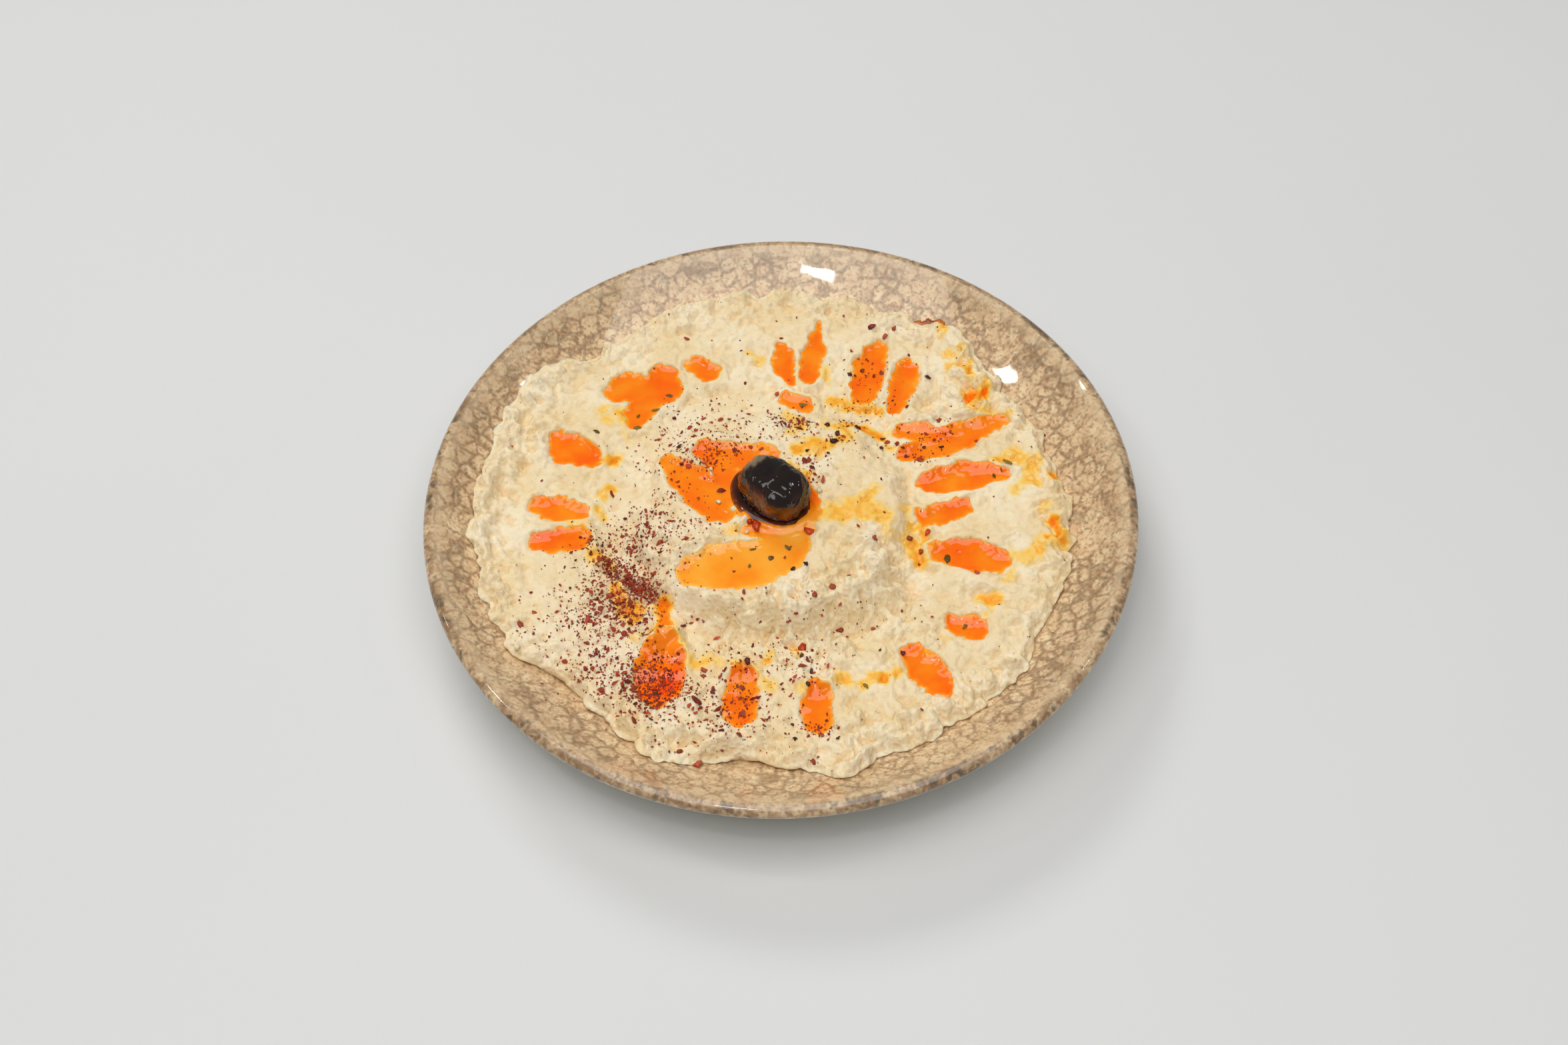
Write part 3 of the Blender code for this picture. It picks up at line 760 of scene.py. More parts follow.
@dataclass(frozen=True)
class Olive:
    """The olive: its middle, half sizes and turn, how boxy it is and how much fatter one end is."""

    middle: tuple[float, float, float]
    half: tuple[float, float, float] = (10.3, 7.8, 6.6)
    turn: float = math.radians(-42.0)
    steps: tuple[int, int] = (240, 120)
    square: float = 2.6
    pole: float = 0.985
    fatter: float = 0.08

    def lie(self, x: Array, y: Array) -> tuple[Array, Array]:
        """Places along and across the olive's length, from its middle.

        Args:
            x: Eastward places, in millimetres.
            y: Northward places, in millimetres.

        Returns:
            The two distances, in millimetres.
        """
        dx, dy = x - self.middle[0], y - self.middle[1]
        cosine, sine = math.cos(self.turn), math.sin(self.turn)
        return dx * cosine + dy * sine, dy * cosine - dx * sine

    def share(self, x: Array, y: Array) -> Array:
        """0 under the olive's middle and 1 on the outline that it has from above."""
        along, across = self.lie(x, y)
        return np.hypot(along / self.half[0], across / self.half[1])

    def swell(self, lon: Array, lat: Array) -> Array:
        """How far the skin stands in or out: broad dents, puckers with raised rims, and fine wrinkles.

        Args:
            lon: Angle round the olive's length.
            lat: Angle from its waist towards its ends.

        Returns:
            Shares of the distance from its middle.
        """
        turns = lon / (2.0 * math.pi)
        bend = gradient_noise(lat * 1.4, turns * 4.0, 11, 4)
        rims = 1.0 - np.abs(gradient_noise(lat * 1.7 + 0.5 * bend, turns * 6.0, 12, 6))
        fine = 1.0 - np.abs(gradient_noise(lat * 5.0 + bend, turns * 18.0, 13, 18))
        taper = np.cos(lat) ** 0.5
        return 0.05 * bend + taper * (0.06 * (rims**2 - 0.5) + 0.02 * (fine**3 - 0.5))

    def build(self) -> bpy.types.Object:
        """A ball with its poles at the olive's two ends, squared, puckered, then stretched and laid down.

        Point (lon, lat) is the direction (sin lat, cos lat cos lon, cos lat sin lon) over its own power mean,
        which fills the ball out towards a box, times the swell and the half sizes.

        Returns:
            The olive.
        """
        around, ahead = self.steps
        lon = np.linspace(0.0, 2.0 * math.pi, around, endpoint=False)[None, :]
        lat = np.linspace(-math.pi / 2, math.pi / 2, ahead + 1)[1:-1, None]
        lon, lat = np.broadcast_arrays(lon, lat)
        ball = np.stack([np.sin(lat), np.cos(lat) * np.cos(lon), np.cos(lat) * np.sin(lon)], axis=-1)
        boxed = (np.abs(ball) ** self.square).sum(-1) ** (-1.0 / self.square)
        ball = ball * (boxed * (1.0 + self.swell(lon, lat)))[..., None]
        poles = [[-self.pole, 0.0, 0.0], [self.pole, 0.0, 0.0]]
        ball = np.concatenate([ball.reshape(-1, 3), poles]) * self.half
        ball[:, 1] *= 1.0 + self.fatter * ball[:, 0] / self.half[0]
        cosine, sine = math.cos(self.turn), math.sin(self.turn)
        x = ball[:, 0] * cosine - ball[:, 1] * sine
        y = ball[:, 0] * sine + ball[:, 1] * cosine
        points = np.stack([x, y, ball[:, 2]], axis=-1) + self.middle
        rows = ahead - 1
        here = np.arange(around)
        after = np.roll(here, -1)
        first, last = np.full_like(here, rows * around), (rows - 1) * around
        caps = [
            np.stack([first, after, here], axis=-1),
            np.stack([last + here, last + after, first + 1], axis=-1),
        ]
        near = np.hypot(ball[:, 0] / 3.8 + 2.35, ball[:, 1] / 5.0 - 0.35)
        scar = smoothstep(1.05, 0.6, near + 0.25 * gradient_noise(ball[:, 0] / 1.6, ball[:, 1] / 1.6, 14))
        aside = unit(points[:, :2] - np.array(self.middle[:2])) @ np.array([-0.75, -0.66])
        soaked = smoothstep(0.35, -0.1, ball[:, 2] / self.half[2] - 0.5 * aside)
        values = {"scar": 0.8 * scar, "soaked": soaked}
        surface = Surface(points, [ring_quads(rows, around), *caps], values)
        return surface.piece("olive", OliveSkin().material())


@dataclass(frozen=True)
class Pool:
    """A pool of oil: the solid that it stands for, its level, its depth and the chains of its outline.

    The bank is how wide the bowl's side is, the shore how far the raised paste reaches, and the slope how
    steep it is. The moat is how far the crater's oil goes round the olive, as a share of its outline.
    """

    node: str
    level: float
    depth: float
    chains: tuple[Chain, ...]
    olive: Olive | None = None
    bank: float = 2.0
    shore: float = 3.2
    slope: float = 0.7
    moat: float = 1.42
    drape: float = 2.1
    climb: float = 1.0

    def distance(self, x: Array, y: Array) -> Array:
        """Distance from points to the pool's torn outline, negative inside.

        Args:
            x: Eastward places, in millimetres.
            y: Northward places, in millimetres.

        Returns:
            The signed distances, in millimetres.
        """
        nearest = np.minimum.reduce([chain_distance(x, y, chain) for chain in self.chains])
        if self.olive:
            nearest = np.minimum(nearest, (self.olive.share(x, y) - self.moat) * self.olive.half[1])
        torn = 0.9 * gradient_noise(x / 4.4, y / 4.4, 34) + 0.8 * gradient_noise(x / 2.2, y / 2.2, 35)
        return nearest + torn + 0.45 * gradient_noise(x / 1.1, y / 1.1, 36)

    def rise(self, x: Array, y: Array) -> Array:
        """How far the oil creeps up its shore: 0.3 mm, and over 1 mm on the far side, where it drapes.

        The far side is where the pool moved 2 mm north would be nearer than the pool moved 2 mm south.

        Args:
            x: Eastward places, in millimetres.
            y: Northward places, in millimetres.

        Returns:
            Heights, in millimetres.
        """
        away = np.minimum.reduce([chain_distance(x, y + 2.0, chain) for chain in self.chains])
        back = np.minimum.reduce([chain_distance(x, y - 2.0, chain) for chain in self.chains])
        far = smoothstep(-1.5, 3.2, away - back)
        return mix(0.3, 1.25 * self.climb, far) * (1.0 + 0.45 * gradient_noise(x / 5.5, y / 5.5, 37))

    def top(self, x: Array, y: Array, away: Array) -> Array:
        """The oil's free face: level and faintly rippled, creeping up the shore and the olive's collar.

        The creep dies away inwards by e for every drape.

        Args:
            x: Eastward places, in millimetres.
            y: Northward places, in millimetres.
            away: The distance() there.

        Returns:
            Heights, in millimetres.
        """
        creep = self.rise(x, y) * np.exp(np.minimum(away, 0.0) / self.drape)
        ripple = 0.05 * gradient_noise(x / 4.5, y / 4.5, 31)
        if self.olive:
            creep = creep + 0.9 * np.exp(-np.clip((self.olive.share(x, y) - 1.3) * 9.0, 0.0, None) / 1.6)
        return self.level + creep + ripple

    def press(self, x: Array, y: Array, z: Array, curds: Array) -> Array:
        """Presses this pool's bowl into the paste: the oil's face less its depth, then a raised bank.

        Inside, the depth grows as a parabola over the bank's width. Outside, the face goes on up at the
        bank's slope and gives way to the paste over the shore.

        Args:
            x: Eastward places, in millimetres.
            y: Northward places, in millimetres.
            z: The paste's height there.
            curds: The height of its lumps there.

        Returns:
            The paste's new height, in millimetres.
        """
        away = self.distance(x, y)
        sunk = 1.0 - (1.0 - np.clip(-away / self.bank, 0.0, 1.0)) ** 2
        bowl = self.top(x, y, away) - self.depth * sunk + self.slope * np.clip(away, 0.0, None)
        bowl = bowl + 0.4 * curds * smoothstep(-1.0, 1.5, away)
        return mix(bowl, z, smoothstep(0.0, self.shore, away))

    def pigment(self, x: Array, y: Array) -> Array:
        """How strong the chilli is: weak in the near half of the crater, strong under the heap of sumac.

        Args:
            x: Eastward places, in millimetres.
            y: Northward places, in millimetres.

        Returns:
            Strength as a share of the usual.
        """
        drift = 0.64 * (1.0 + 0.35 * gradient_noise(x / 9.0, y / 9.0, 33))
        if self.olive:
            return drift * mix(0.56, 1.0, smoothstep(-13.0, 4.0, y))
        if self.node == REDDEST:
            return drift * mix(0.95, 1.35, smoothstep(-48.0, -55.0, y))
        return drift

    def extent(self, margin: float) -> tuple[float, float, float, float]:
        """The box that holds the pool, seen from above.

        Args:
            margin: How much wider the box is on each side, in millimetres.

        Returns:
            Least x, greatest x, least y and greatest y.
        """
        discs = np.array([disc for chain in self.chains for disc in chain])
        if self.olive:
            reach = self.olive.half[0] * self.moat
            discs = np.concatenate([discs, [[self.olive.middle[0], self.olive.middle[1], reach]]])
        low = (discs[:, :2] - discs[:, 2:]).min(0) - margin
        high = (discs[:, :2] + discs[:, 2:]).max(0) + margin
        return low[0], high[0], low[1], high[1]

    def near(self, x: Array, y: Array, margin: float = 5.0) -> Array:
        """Whether points lie in the pool's box with a margin, which is where it can matter."""
        west, east, south, north = self.extent(margin)
        return (x > west) & (x < east) & (y > south) & (y < north)


# Each chain is discs of (x, y, radius) joined by tapering bands. DRAPES has how far in from its far shore a
# well's oil drapes, and how many times as high as elsewhere. REDDEST is the pool under the heap of sumac.
REDDEST = "oil_well_13"
CRATER_LEVEL = 20.0
CRATER_DEPTH = 2.4
CRATER = (
    ((-20.5, 21.5, 3.4), (-17.5, 19.5, 4.6), (-10.0, 18.6, 4.4), (-4.0, 18.5, 4.0)),
    ((-31.0, 17.0, 2.8), (-26.0, 11.5, 5.4), (-21.5, 6.0, 5.8), (-18.5, 0.8, 4.4), (-15.5, -2.5, 2.2)),
    ((-24.5, -21.0, 5.0), (-17.0, -20.0, 7.4), (-8.0, -19.0, 7.6), (0.0, -15.6, 6.6), (3.5, -12.6, 5.0)),
    ((-16.0, 17.0, 3.8), (-15.5, 10.0, 3.2), (-15.0, 4.0, 2.2)),
    ((-9.0, -7.5, 2.2), (0.0, -9.5, 3.6), (7.0, -7.5, 2.4)),
)
WELL_LEVEL = 16.5
WELL_DEPTH = 2.4
RAISED_LEVELS = {"well_19": 17.4}
WELLS = {
    "well_01": (((4.4, 49.6, 2.2), (3.6, 54.0, 4.3), (2.2, 58.5, 3.6), (1.8, 61.8, 1.6)),),
    "well_02": (
        ((9.2, 51.0, 2.7), (10.2, 56.0, 3.4), (11.6, 62.0, 2.8), (12.8, 68.0, 1.5), (13.2, 71.0, 0.7)),
    ),
    "well_03": (
        ((25.2, 43.4, 3.5), (26.4, 47.5, 4.8), (27.3, 53.0, 4.9), (29.5, 58.5, 3.8), (30.8, 61.5, 2.0)),
    ),
    "well_04": (((34.6, 38.2, 2.1), (36.2, 43.0, 3.5), (38.0, 48.5, 4.0), (38.8, 52.5, 3.3)),),
    "well_05": (
        ((36.5, 20.5, 2.4), (42.0, 22.5, 4.0), (49.0, 25.0, 4.6), (56.0, 28.0, 4.2), (65.0, 32.0, 1.8)),
        ((36.0, 29.0, 2.6), (41.0, 28.2, 3.0), (47.0, 27.2, 3.0)),
    ),
    "well_06": (
        ((42.6, 9.8, 3.4), (48.0, 10.9, 4.7), (54.0, 11.8, 4.9), (59.5, 12.5, 3.6), (64.0, 12.3, 1.8)),
    ),
    "well_07": (((41.0, -2.2, 2.9), (46.0, -0.7, 3.7), (51.5, 1.2, 2.9)),),
    "well_08": (((43.8, -14.4, 3.1), (49.0, -15.2, 4.9), (55.0, -16.6, 5.1), (60.0, -18.0, 3.6)),),
    "well_09": (((47.0, -38.6, 2.8), (51.6, -40.4, 3.9)),),
    "well_10": (((35.0, -48.8, 3.5), (37.4, -52.5, 4.7), (40.4, -56.6, 4.2), (42.3, -58.6, 2.5)),),
    "well_11": (((8.4, -60.6, 4.0), (8.3, -65.0, 4.3), (8.8, -69.0, 3.2)),),
    "well_12": (((-11.2, -54.5, 4.0), (-11.8, -60.0, 5.0), (-12.4, -64.6, 4.2)),),
    "well_13": (((-32.0, -42.0, 3.0), (-33.0, -47.5, 6.0), (-34.0, -53.0, 7.3), (-34.6, -57.0, 4.8)),),
    "well_14": (((-68.5, 5.4, 3.2), (-63.0, 4.2, 4.3), (-57.5, 3.0, 2.9)),),
    "well_15": (((-68.6, -6.9, 2.5), (-63.0, -6.6, 4.0), (-57.6, -5.8, 4.3)),),
    "well_16": (((-64.2, 29.5, 2.9), (-61.2, 26.2, 5.4), (-57.0, 24.2, 4.8), (-53.6, 22.6, 2.6)),),
    "well_17": (
        ((-47.3, 46.8, 3.8), (-43.5, 48.8, 5.0), (-39.5, 47.0, 4.8), (-34.2, 48.2, 6.0), (-33.8, 52.5, 4.4)),
        ((-38.5, 43.0, 4.2), (-40.6, 38.8, 4.3), (-41.5, 36.0, 2.8)),
    ),
    "well_18": (((-23.6, 57.0, 3.2), (-20.2, 53.6, 3.3)),),
    "well_19": (((2.6, 41.4, 2.4), (8.0, 39.3, 2.6)),),
}
DRAPES = {
    "well_05": (2.6, 1.3),
    "well_06": (2.6, 1.3),
    "well_11": (4.6, 2.2),
    "well_12": (5.0, 2.3),
    "well_13": (6.6, 3.0),
}

def make_pools(olive: Olive) -> list[Pool]:
    """Makes every pool, from the crater's to the last well's.

    Args:
        olive: The olive that stands in the crater.

    Returns:
        The pools.
    """
    made = [Pool("oil_crater", CRATER_LEVEL, CRATER_DEPTH, CRATER, olive)]
    for name, chains in WELLS.items():
        drape, climb = DRAPES.get(name, (Pool.drape, Pool.climb))
        level = RAISED_LEVELS.get(name, WELL_LEVEL)
        made.append(Pool("oil_" + name, level, WELL_DEPTH, chains, drape=drape, climb=climb))
    return made


@dataclass(frozen=True)
class Stroke:
    """A soft ridge that the spoon left along a path, or a groove where its height is negative."""

    path: Path
    width: float
    height: float

    def rise(self, x: Array, y: Array) -> Array:
        """A bell across the path: height times e to minus the square of distance over width."""
        away = chain_distance(x, y, tuple((px, py, 0.0) for px, py in self.path))
        return self.height * np.exp(-((away / self.width) ** 2))


STROKES = (
    Stroke(
        ((-34.0, -23.0), (-25.0, -29.0), (-11.0, -33.0), (5.0, -34.0), (17.0, -32.5), (30.0, -27.0)), 2.6, 1.5
    ),
    Stroke(((-26.0, -36.5), (-11.0, -39.5), (6.0, -40.0), (17.0, -39.0)), 2.4, -0.9),
    Stroke(((20.0, -38.0), (32.0, -32.0), (38.0, -18.0)), 2.8, -1.2),
    Stroke(((-49.0, -15.5), (-45.0, -18.5), (-39.0, -23.5), (-33.5, -28.0)), 1.9, -2.6),
    Stroke(((-45.0, -22.0), (-41.0, -26.5), (-36.0, -30.0)), 1.7, 1.5),
    Stroke(((-40.0, -3.0), (-37.0, -13.0), (-31.0, -16.0), (-21.0, -11.0)), 2.2, 1.6),
    Stroke(((-42.0, -1.0), (-41.0, -9.0), (-38.0, -18.0)), 2.0, -1.0),
    Stroke(((-40.0, 27.0), (-34.0, 35.0), (-23.0, 41.0), (-10.0, 43.0), (5.0, 44.5), (19.0, 40.0)), 2.4, 0.8),
    Stroke(((35.0, -20.0), (43.0, -24.5), (54.0, -25.0), (66.0, -29.0)), 2.0, 1.1),
    Stroke(((34.0, -27.0), (43.0, -29.5), (54.0, -29.5), (64.0, -34.0)), 2.2, -1.0),
    Stroke(((38.0, 4.0), (48.0, 5.0), (58.0, 6.0)), 1.6, 0.8),
    Stroke(((37.0, -8.0), (46.0, -8.0), (58.0, -9.0), (68.0, -10.0)), 1.8, 0.8),
    Stroke(((38.0, 14.0), (50.0, 17.5), (62.0, 21.0)), 1.6, 0.8),
    Stroke(((38.0, 33.5), (47.0, 34.0), (56.0, 33.0)), 1.8, 1.5),
    Stroke(((41.5, 38.5), (47.0, 40.0)), 2.6, -1.8),
    Stroke(((46.0, 47.0), (50.0, 43.0)), 2.2, -1.2),
    Stroke(((50.0, 54.0), (56.0, 48.5), (62.0, 44.5)), 1.8, 1.3),
    Stroke(((-77.0, 36.0), (-72.0, 48.0), (-62.0, 61.0)), 2.2, 1.2),
    Stroke(((-84.0, 30.0), (-79.0, 34.0), (-75.0, 40.0)), 1.8, -0.9),
    Stroke(((-83.0, -8.0), (-80.0, -22.0), (-74.0, -36.0)), 2.4, 1.2),
    Stroke(((-76.0, 0.0), (-75.0, 14.0), (-72.0, 26.0)), 2.2, -0.7),
    Stroke(((-46.0, -66.0), (-34.0, -69.0), (-20.0, -73.0), (-5.0, -74.0)), 2.2, 1.4),
    Stroke(((-41.0, -69.5), (-30.0, -72.0), (-18.0, -77.0)), 1.6, -1.0),
    Stroke(((24.0, -72.0), (36.0, -67.5), (50.0, -61.0)), 2.2, 1.3),
    Stroke(((76.0, -16.0), (78.0, 0.0), (74.0, 20.0)), 2.0, 0.9),
    Stroke(((11.0, -42.0), (11.0, -50.0), (10.0, -57.0)), 1.4, -1.2),
    Stroke(((14.5, -43.0), (14.0, -50.0), (13.0, -56.0)), 1.6, 0.8),
    Stroke(((-22.0, -46.0), (-8.0, -47.0), (4.0, -46.0)), 1.8, 0.7),
)
# Radii of the torn edge, every ten degrees from +X towards +Y.
OUTLINE = (
    81.5, 80.5, 78.5, 79.5, 80.5, 84.5, 82.5, 83.5, 83.5, 83.5, 84.5, 84.0,
    82.5, 81.5, 86.5, 88.0, 86.0, 87.0, 87.0, 85.0, 85.0, 85.5, 79.0, 79.0,
    83.5, 83.5, 78.5, 79.5, 86.0, 81.5, 82.5, 82.0, 82.5, 80.5, 80.5, 81.0,
)
# Chains of soaked-in oil, each with the film's thickness.
FILMS = (
    (((20.0, 32.5, 1.8), (26.0, 30.0, 1.8), (31.0, 26.0, 1.9), (33.0, 23.0, 1.2)), 0.75),
    (((15.5, 42.0, 1.6), (19.0, 41.5, 2.4), (21.0, 38.5, 1.8), (27.0, 38.0, 1.2), (31.0, 37.2, 0.8)), 0.55),
    (((11.0, -3.0, 3.6), (18.0, -2.5, 4.2), (24.0, -1.5, 4.6), (29.0, -4.0, 2.8)), 0.36),
    (((24.5, 2.5, 2.4), (27.0, 4.5, 1.6)), 0.32),
    (((29.5, -4.0, 1.6), (30.5, -9.5, 1.5)), 0.3),
    (((36.0, -1.0, 1.6), (36.0, -8.0, 1.6), (36.5, -13.0, 2.0), (39.0, -16.5, 2.2)), 0.5),
    (((39.5, -5.5, 1.4), (40.5, -8.5, 1.6)), 0.6),
    (((63.0, -16.0, 1.2), (68.0, -17.5, 3.2), (72.0, -15.5, 2.2), (76.0, -12.5, 1.8)), 0.3),
    (((64.0, -21.0, 2.0), (62.0, -25.5, 1.8)), 0.25),
    (((76.5, -5.5, 2.6), (77.5, -8.0, 2.2)), 0.9),
    (((74.5, -11.0, 1.0), (78.5, -11.0, 1.6), (79.0, -14.0, 1.2)), 0.65),
    (((54.5, -31.0, 2.2), (58.5, -30.5, 2.0), (58.0, -34.5, 1.4), (55.0, -36.5, 1.0)), 0.5),
    (((43.0, -43.0, 1.0), (44.0, -44.0, 1.0)), 0.2),
    (((21.0, -56.5, 1.7), (26.0, -55.5, 2.4), (29.5, -54.8, 1.6)), 0.55),
    (((54.5, 58.5, 1.1), (57.5, 54.5, 0.8)), 0.75),
    (((52.0, 52.5, 1.4), (56.0, 50.0, 1.6), (59.0, 46.5, 1.2)), 0.65),
    (((52.0, 57.0, 1.8), (53.5, 55.0, 1.5)), 0.28),
    (((56.5, 40.5, 3.0), (61.0, 42.0, 2.4)), 0.95),
    (((56.0, 35.5, 2.4), (60.0, 35.0, 2.6), (66.0, 33.0, 1.8)), 0.32),
    (((50.6, 67.0, 1.2), (51.2, 64.5, 1.2)), 0.5),
    (((67.0, 18.5, 3.6), (72.0, 15.5, 3.0), (72.5, 9.0, 2.6), (67.0, 7.0, 2.2)), 0.33),
    (((62.0, 17.5, 1.4), (64.5, 16.5, 1.4)), 0.5),
    (((76.5, 7.5, 0.9), (78.0, 11.0, 1.0)), 0.8),
    (((76.0, 0.0, 1.8), (73.5, -1.0, 1.2)), 0.3),
    (((-51.0, 20.8, 1.2), (-48.0, 22.0, 1.7), (-45.5, 24.5, 1.0)), 0.75),
    (((-44.5, 30.5, 1.6), (-43.5, 29.0, 1.4)), 0.4),
    (((-51.0, 41.0, 1.6), (-52.0, 38.0, 2.0), (-48.5, 36.0, 1.8)), 0.3),
    (((-47.0, 39.0, 1.6), (-45.5, 36.0, 1.4)), 0.6),
    (((-8.0, 60.5, 1.2), (-5.5, 58.0, 1.6)), 0.35),
    (((14.0, 50.5, 1.6), (14.5, 53.0, 1.4)), 0.3),
    (((3.0, 34.0, 2.0), (5.0, 32.0, 2.4), (6.5, 28.5, 1.8)), 0.35),
    (((5.5, 20.5, 2.6), (10.0, 22.0, 3.4), (16.0, 23.0, 2.6), (21.0, 26.0, 1.8)), 0.5),
    (((5.0, 27.0, 2.0), (6.5, 25.5, 1.6)), 0.3),
    (((14.0, 31.0, 1.6), (17.5, 28.5, 2.4), (22.0, 25.0, 1.6)), 0.45),
    (((3.0, 13.5, 1.6), (6.0, 11.5, 2.4), (7.0, 9.0, 1.6)), 0.7),
    (((10.0, 3.0, 1.0), (9.8, -1.0, 1.2)), 0.6),
    (((-12.0, -6.0, 1.6), (-14.0, -9.0, 1.8)), 0.35),
    (((-50.0, 8.5, 1.5), (-49.2, 12.0, 1.0)), 0.5),
    (((-51.0, 3.3, 1.8), (-50.4, 2.3, 1.6)), 0.4),
    (((-53.5, -11.5, 1.6), (-50.0, -12.5, 1.8), (-48.0, -14.5, 1.6)), 0.45),
    (((-59.5, -1.2, 1.2), (-56.0, -1.2, 1.2)), 0.4),
    (((-46.0, -22.0, 2.0), (-45.0, -26.0, 2.6), (-44.0, -30.0, 2.6), (-41.0, -33.0, 3.0)), 0.7),
    (((-33.0, -27.0, 2.4), (-32.0, -31.0, 2.4), (-33.0, -36.0, 3.0), (-34.0, -39.0, 2.5)), 0.8),
    (((-39.0, -38.5, 1.2), (-41.0, -40.0, 1.6)), 0.35),
    (((-29.0, -40.0, 1.6), (-27.0, -44.0, 2.0), (-24.0, -49.5, 2.2), (-22.0, -48.0, 1.0)), 0.32),
    (
        ((-19.0, -48.0, 1.4), (-15.0, -49.5, 2.4), (-10.0, -50.5, 2.2), (-5.5, -55.0, 2.0),
         (-4.6, -58.0, 1.4)),
        0.25,
    ),
    (((-5.0, -47.5, 0.8), (-3.5, -46.5, 1.0)), 0.5),
    (((2.5, -57.0, 1.6), (4.0, -59.5, 2.0)), 0.3),
    (((12.5, -56.0, 1.2), (15.5, -54.5, 2.0), (17.5, -57.5, 1.0)), 0.35),
    (((4.8, -44.5, 1.5), (5.2, -43.3, 1.2)), 0.8),
)
# (x, y, reach, strength) of the coarse places, and (x, y, width, depth, strength) of the sumac's stain.
ROUGH_PLACES = (
    (0.0, -32.0, 14.0, 0.8), (8.0, -39.0, 13.0, 1.0), (28.0, -26.0, 10.0, 1.1), (36.0, -42.0, 9.0, 0.7),
    (-12.0, -39.0, 9.0, 0.9), (22.0, -14.0, 9.0, 0.9), (-41.0, -26.0, 7.0, 0.7), (48.0, 37.0, 10.0, 0.9),
    (20.0, -74.0, 12.0, 0.8), (45.0, -64.0, 12.0, 0.7), (-30.0, -71.0, 12.0, 0.7), (-74.0, 30.0, 12.0, 0.6),
    (62.0, 42.0, 12.0, 0.9), (12.0, 8.0, 6.0, 0.7), (-12.0, -6.0, 5.0, 0.6), (-28.0, -12.0, 9.0, 0.5),
)
DUST = (
    (-44.0, -29.0, 9.0, 8.0, 0.35), (-35.0, -54.0, 6.5, 5.5, 0.7), (-40.0, -23.0, 6.5, 3.6, 1.0),
    (-43.0, -10.0, 6.0, 8.0, 0.25), (-12.0, -64.0, 6.0, 5.0, 0.15), (-20.0, 18.0, 4.0, 3.0, 0.3),
    (-52.0, -46.0, 10.0, 10.0, 0.15), (4.0, 31.0, 3.0, 3.0, 0.3),
)


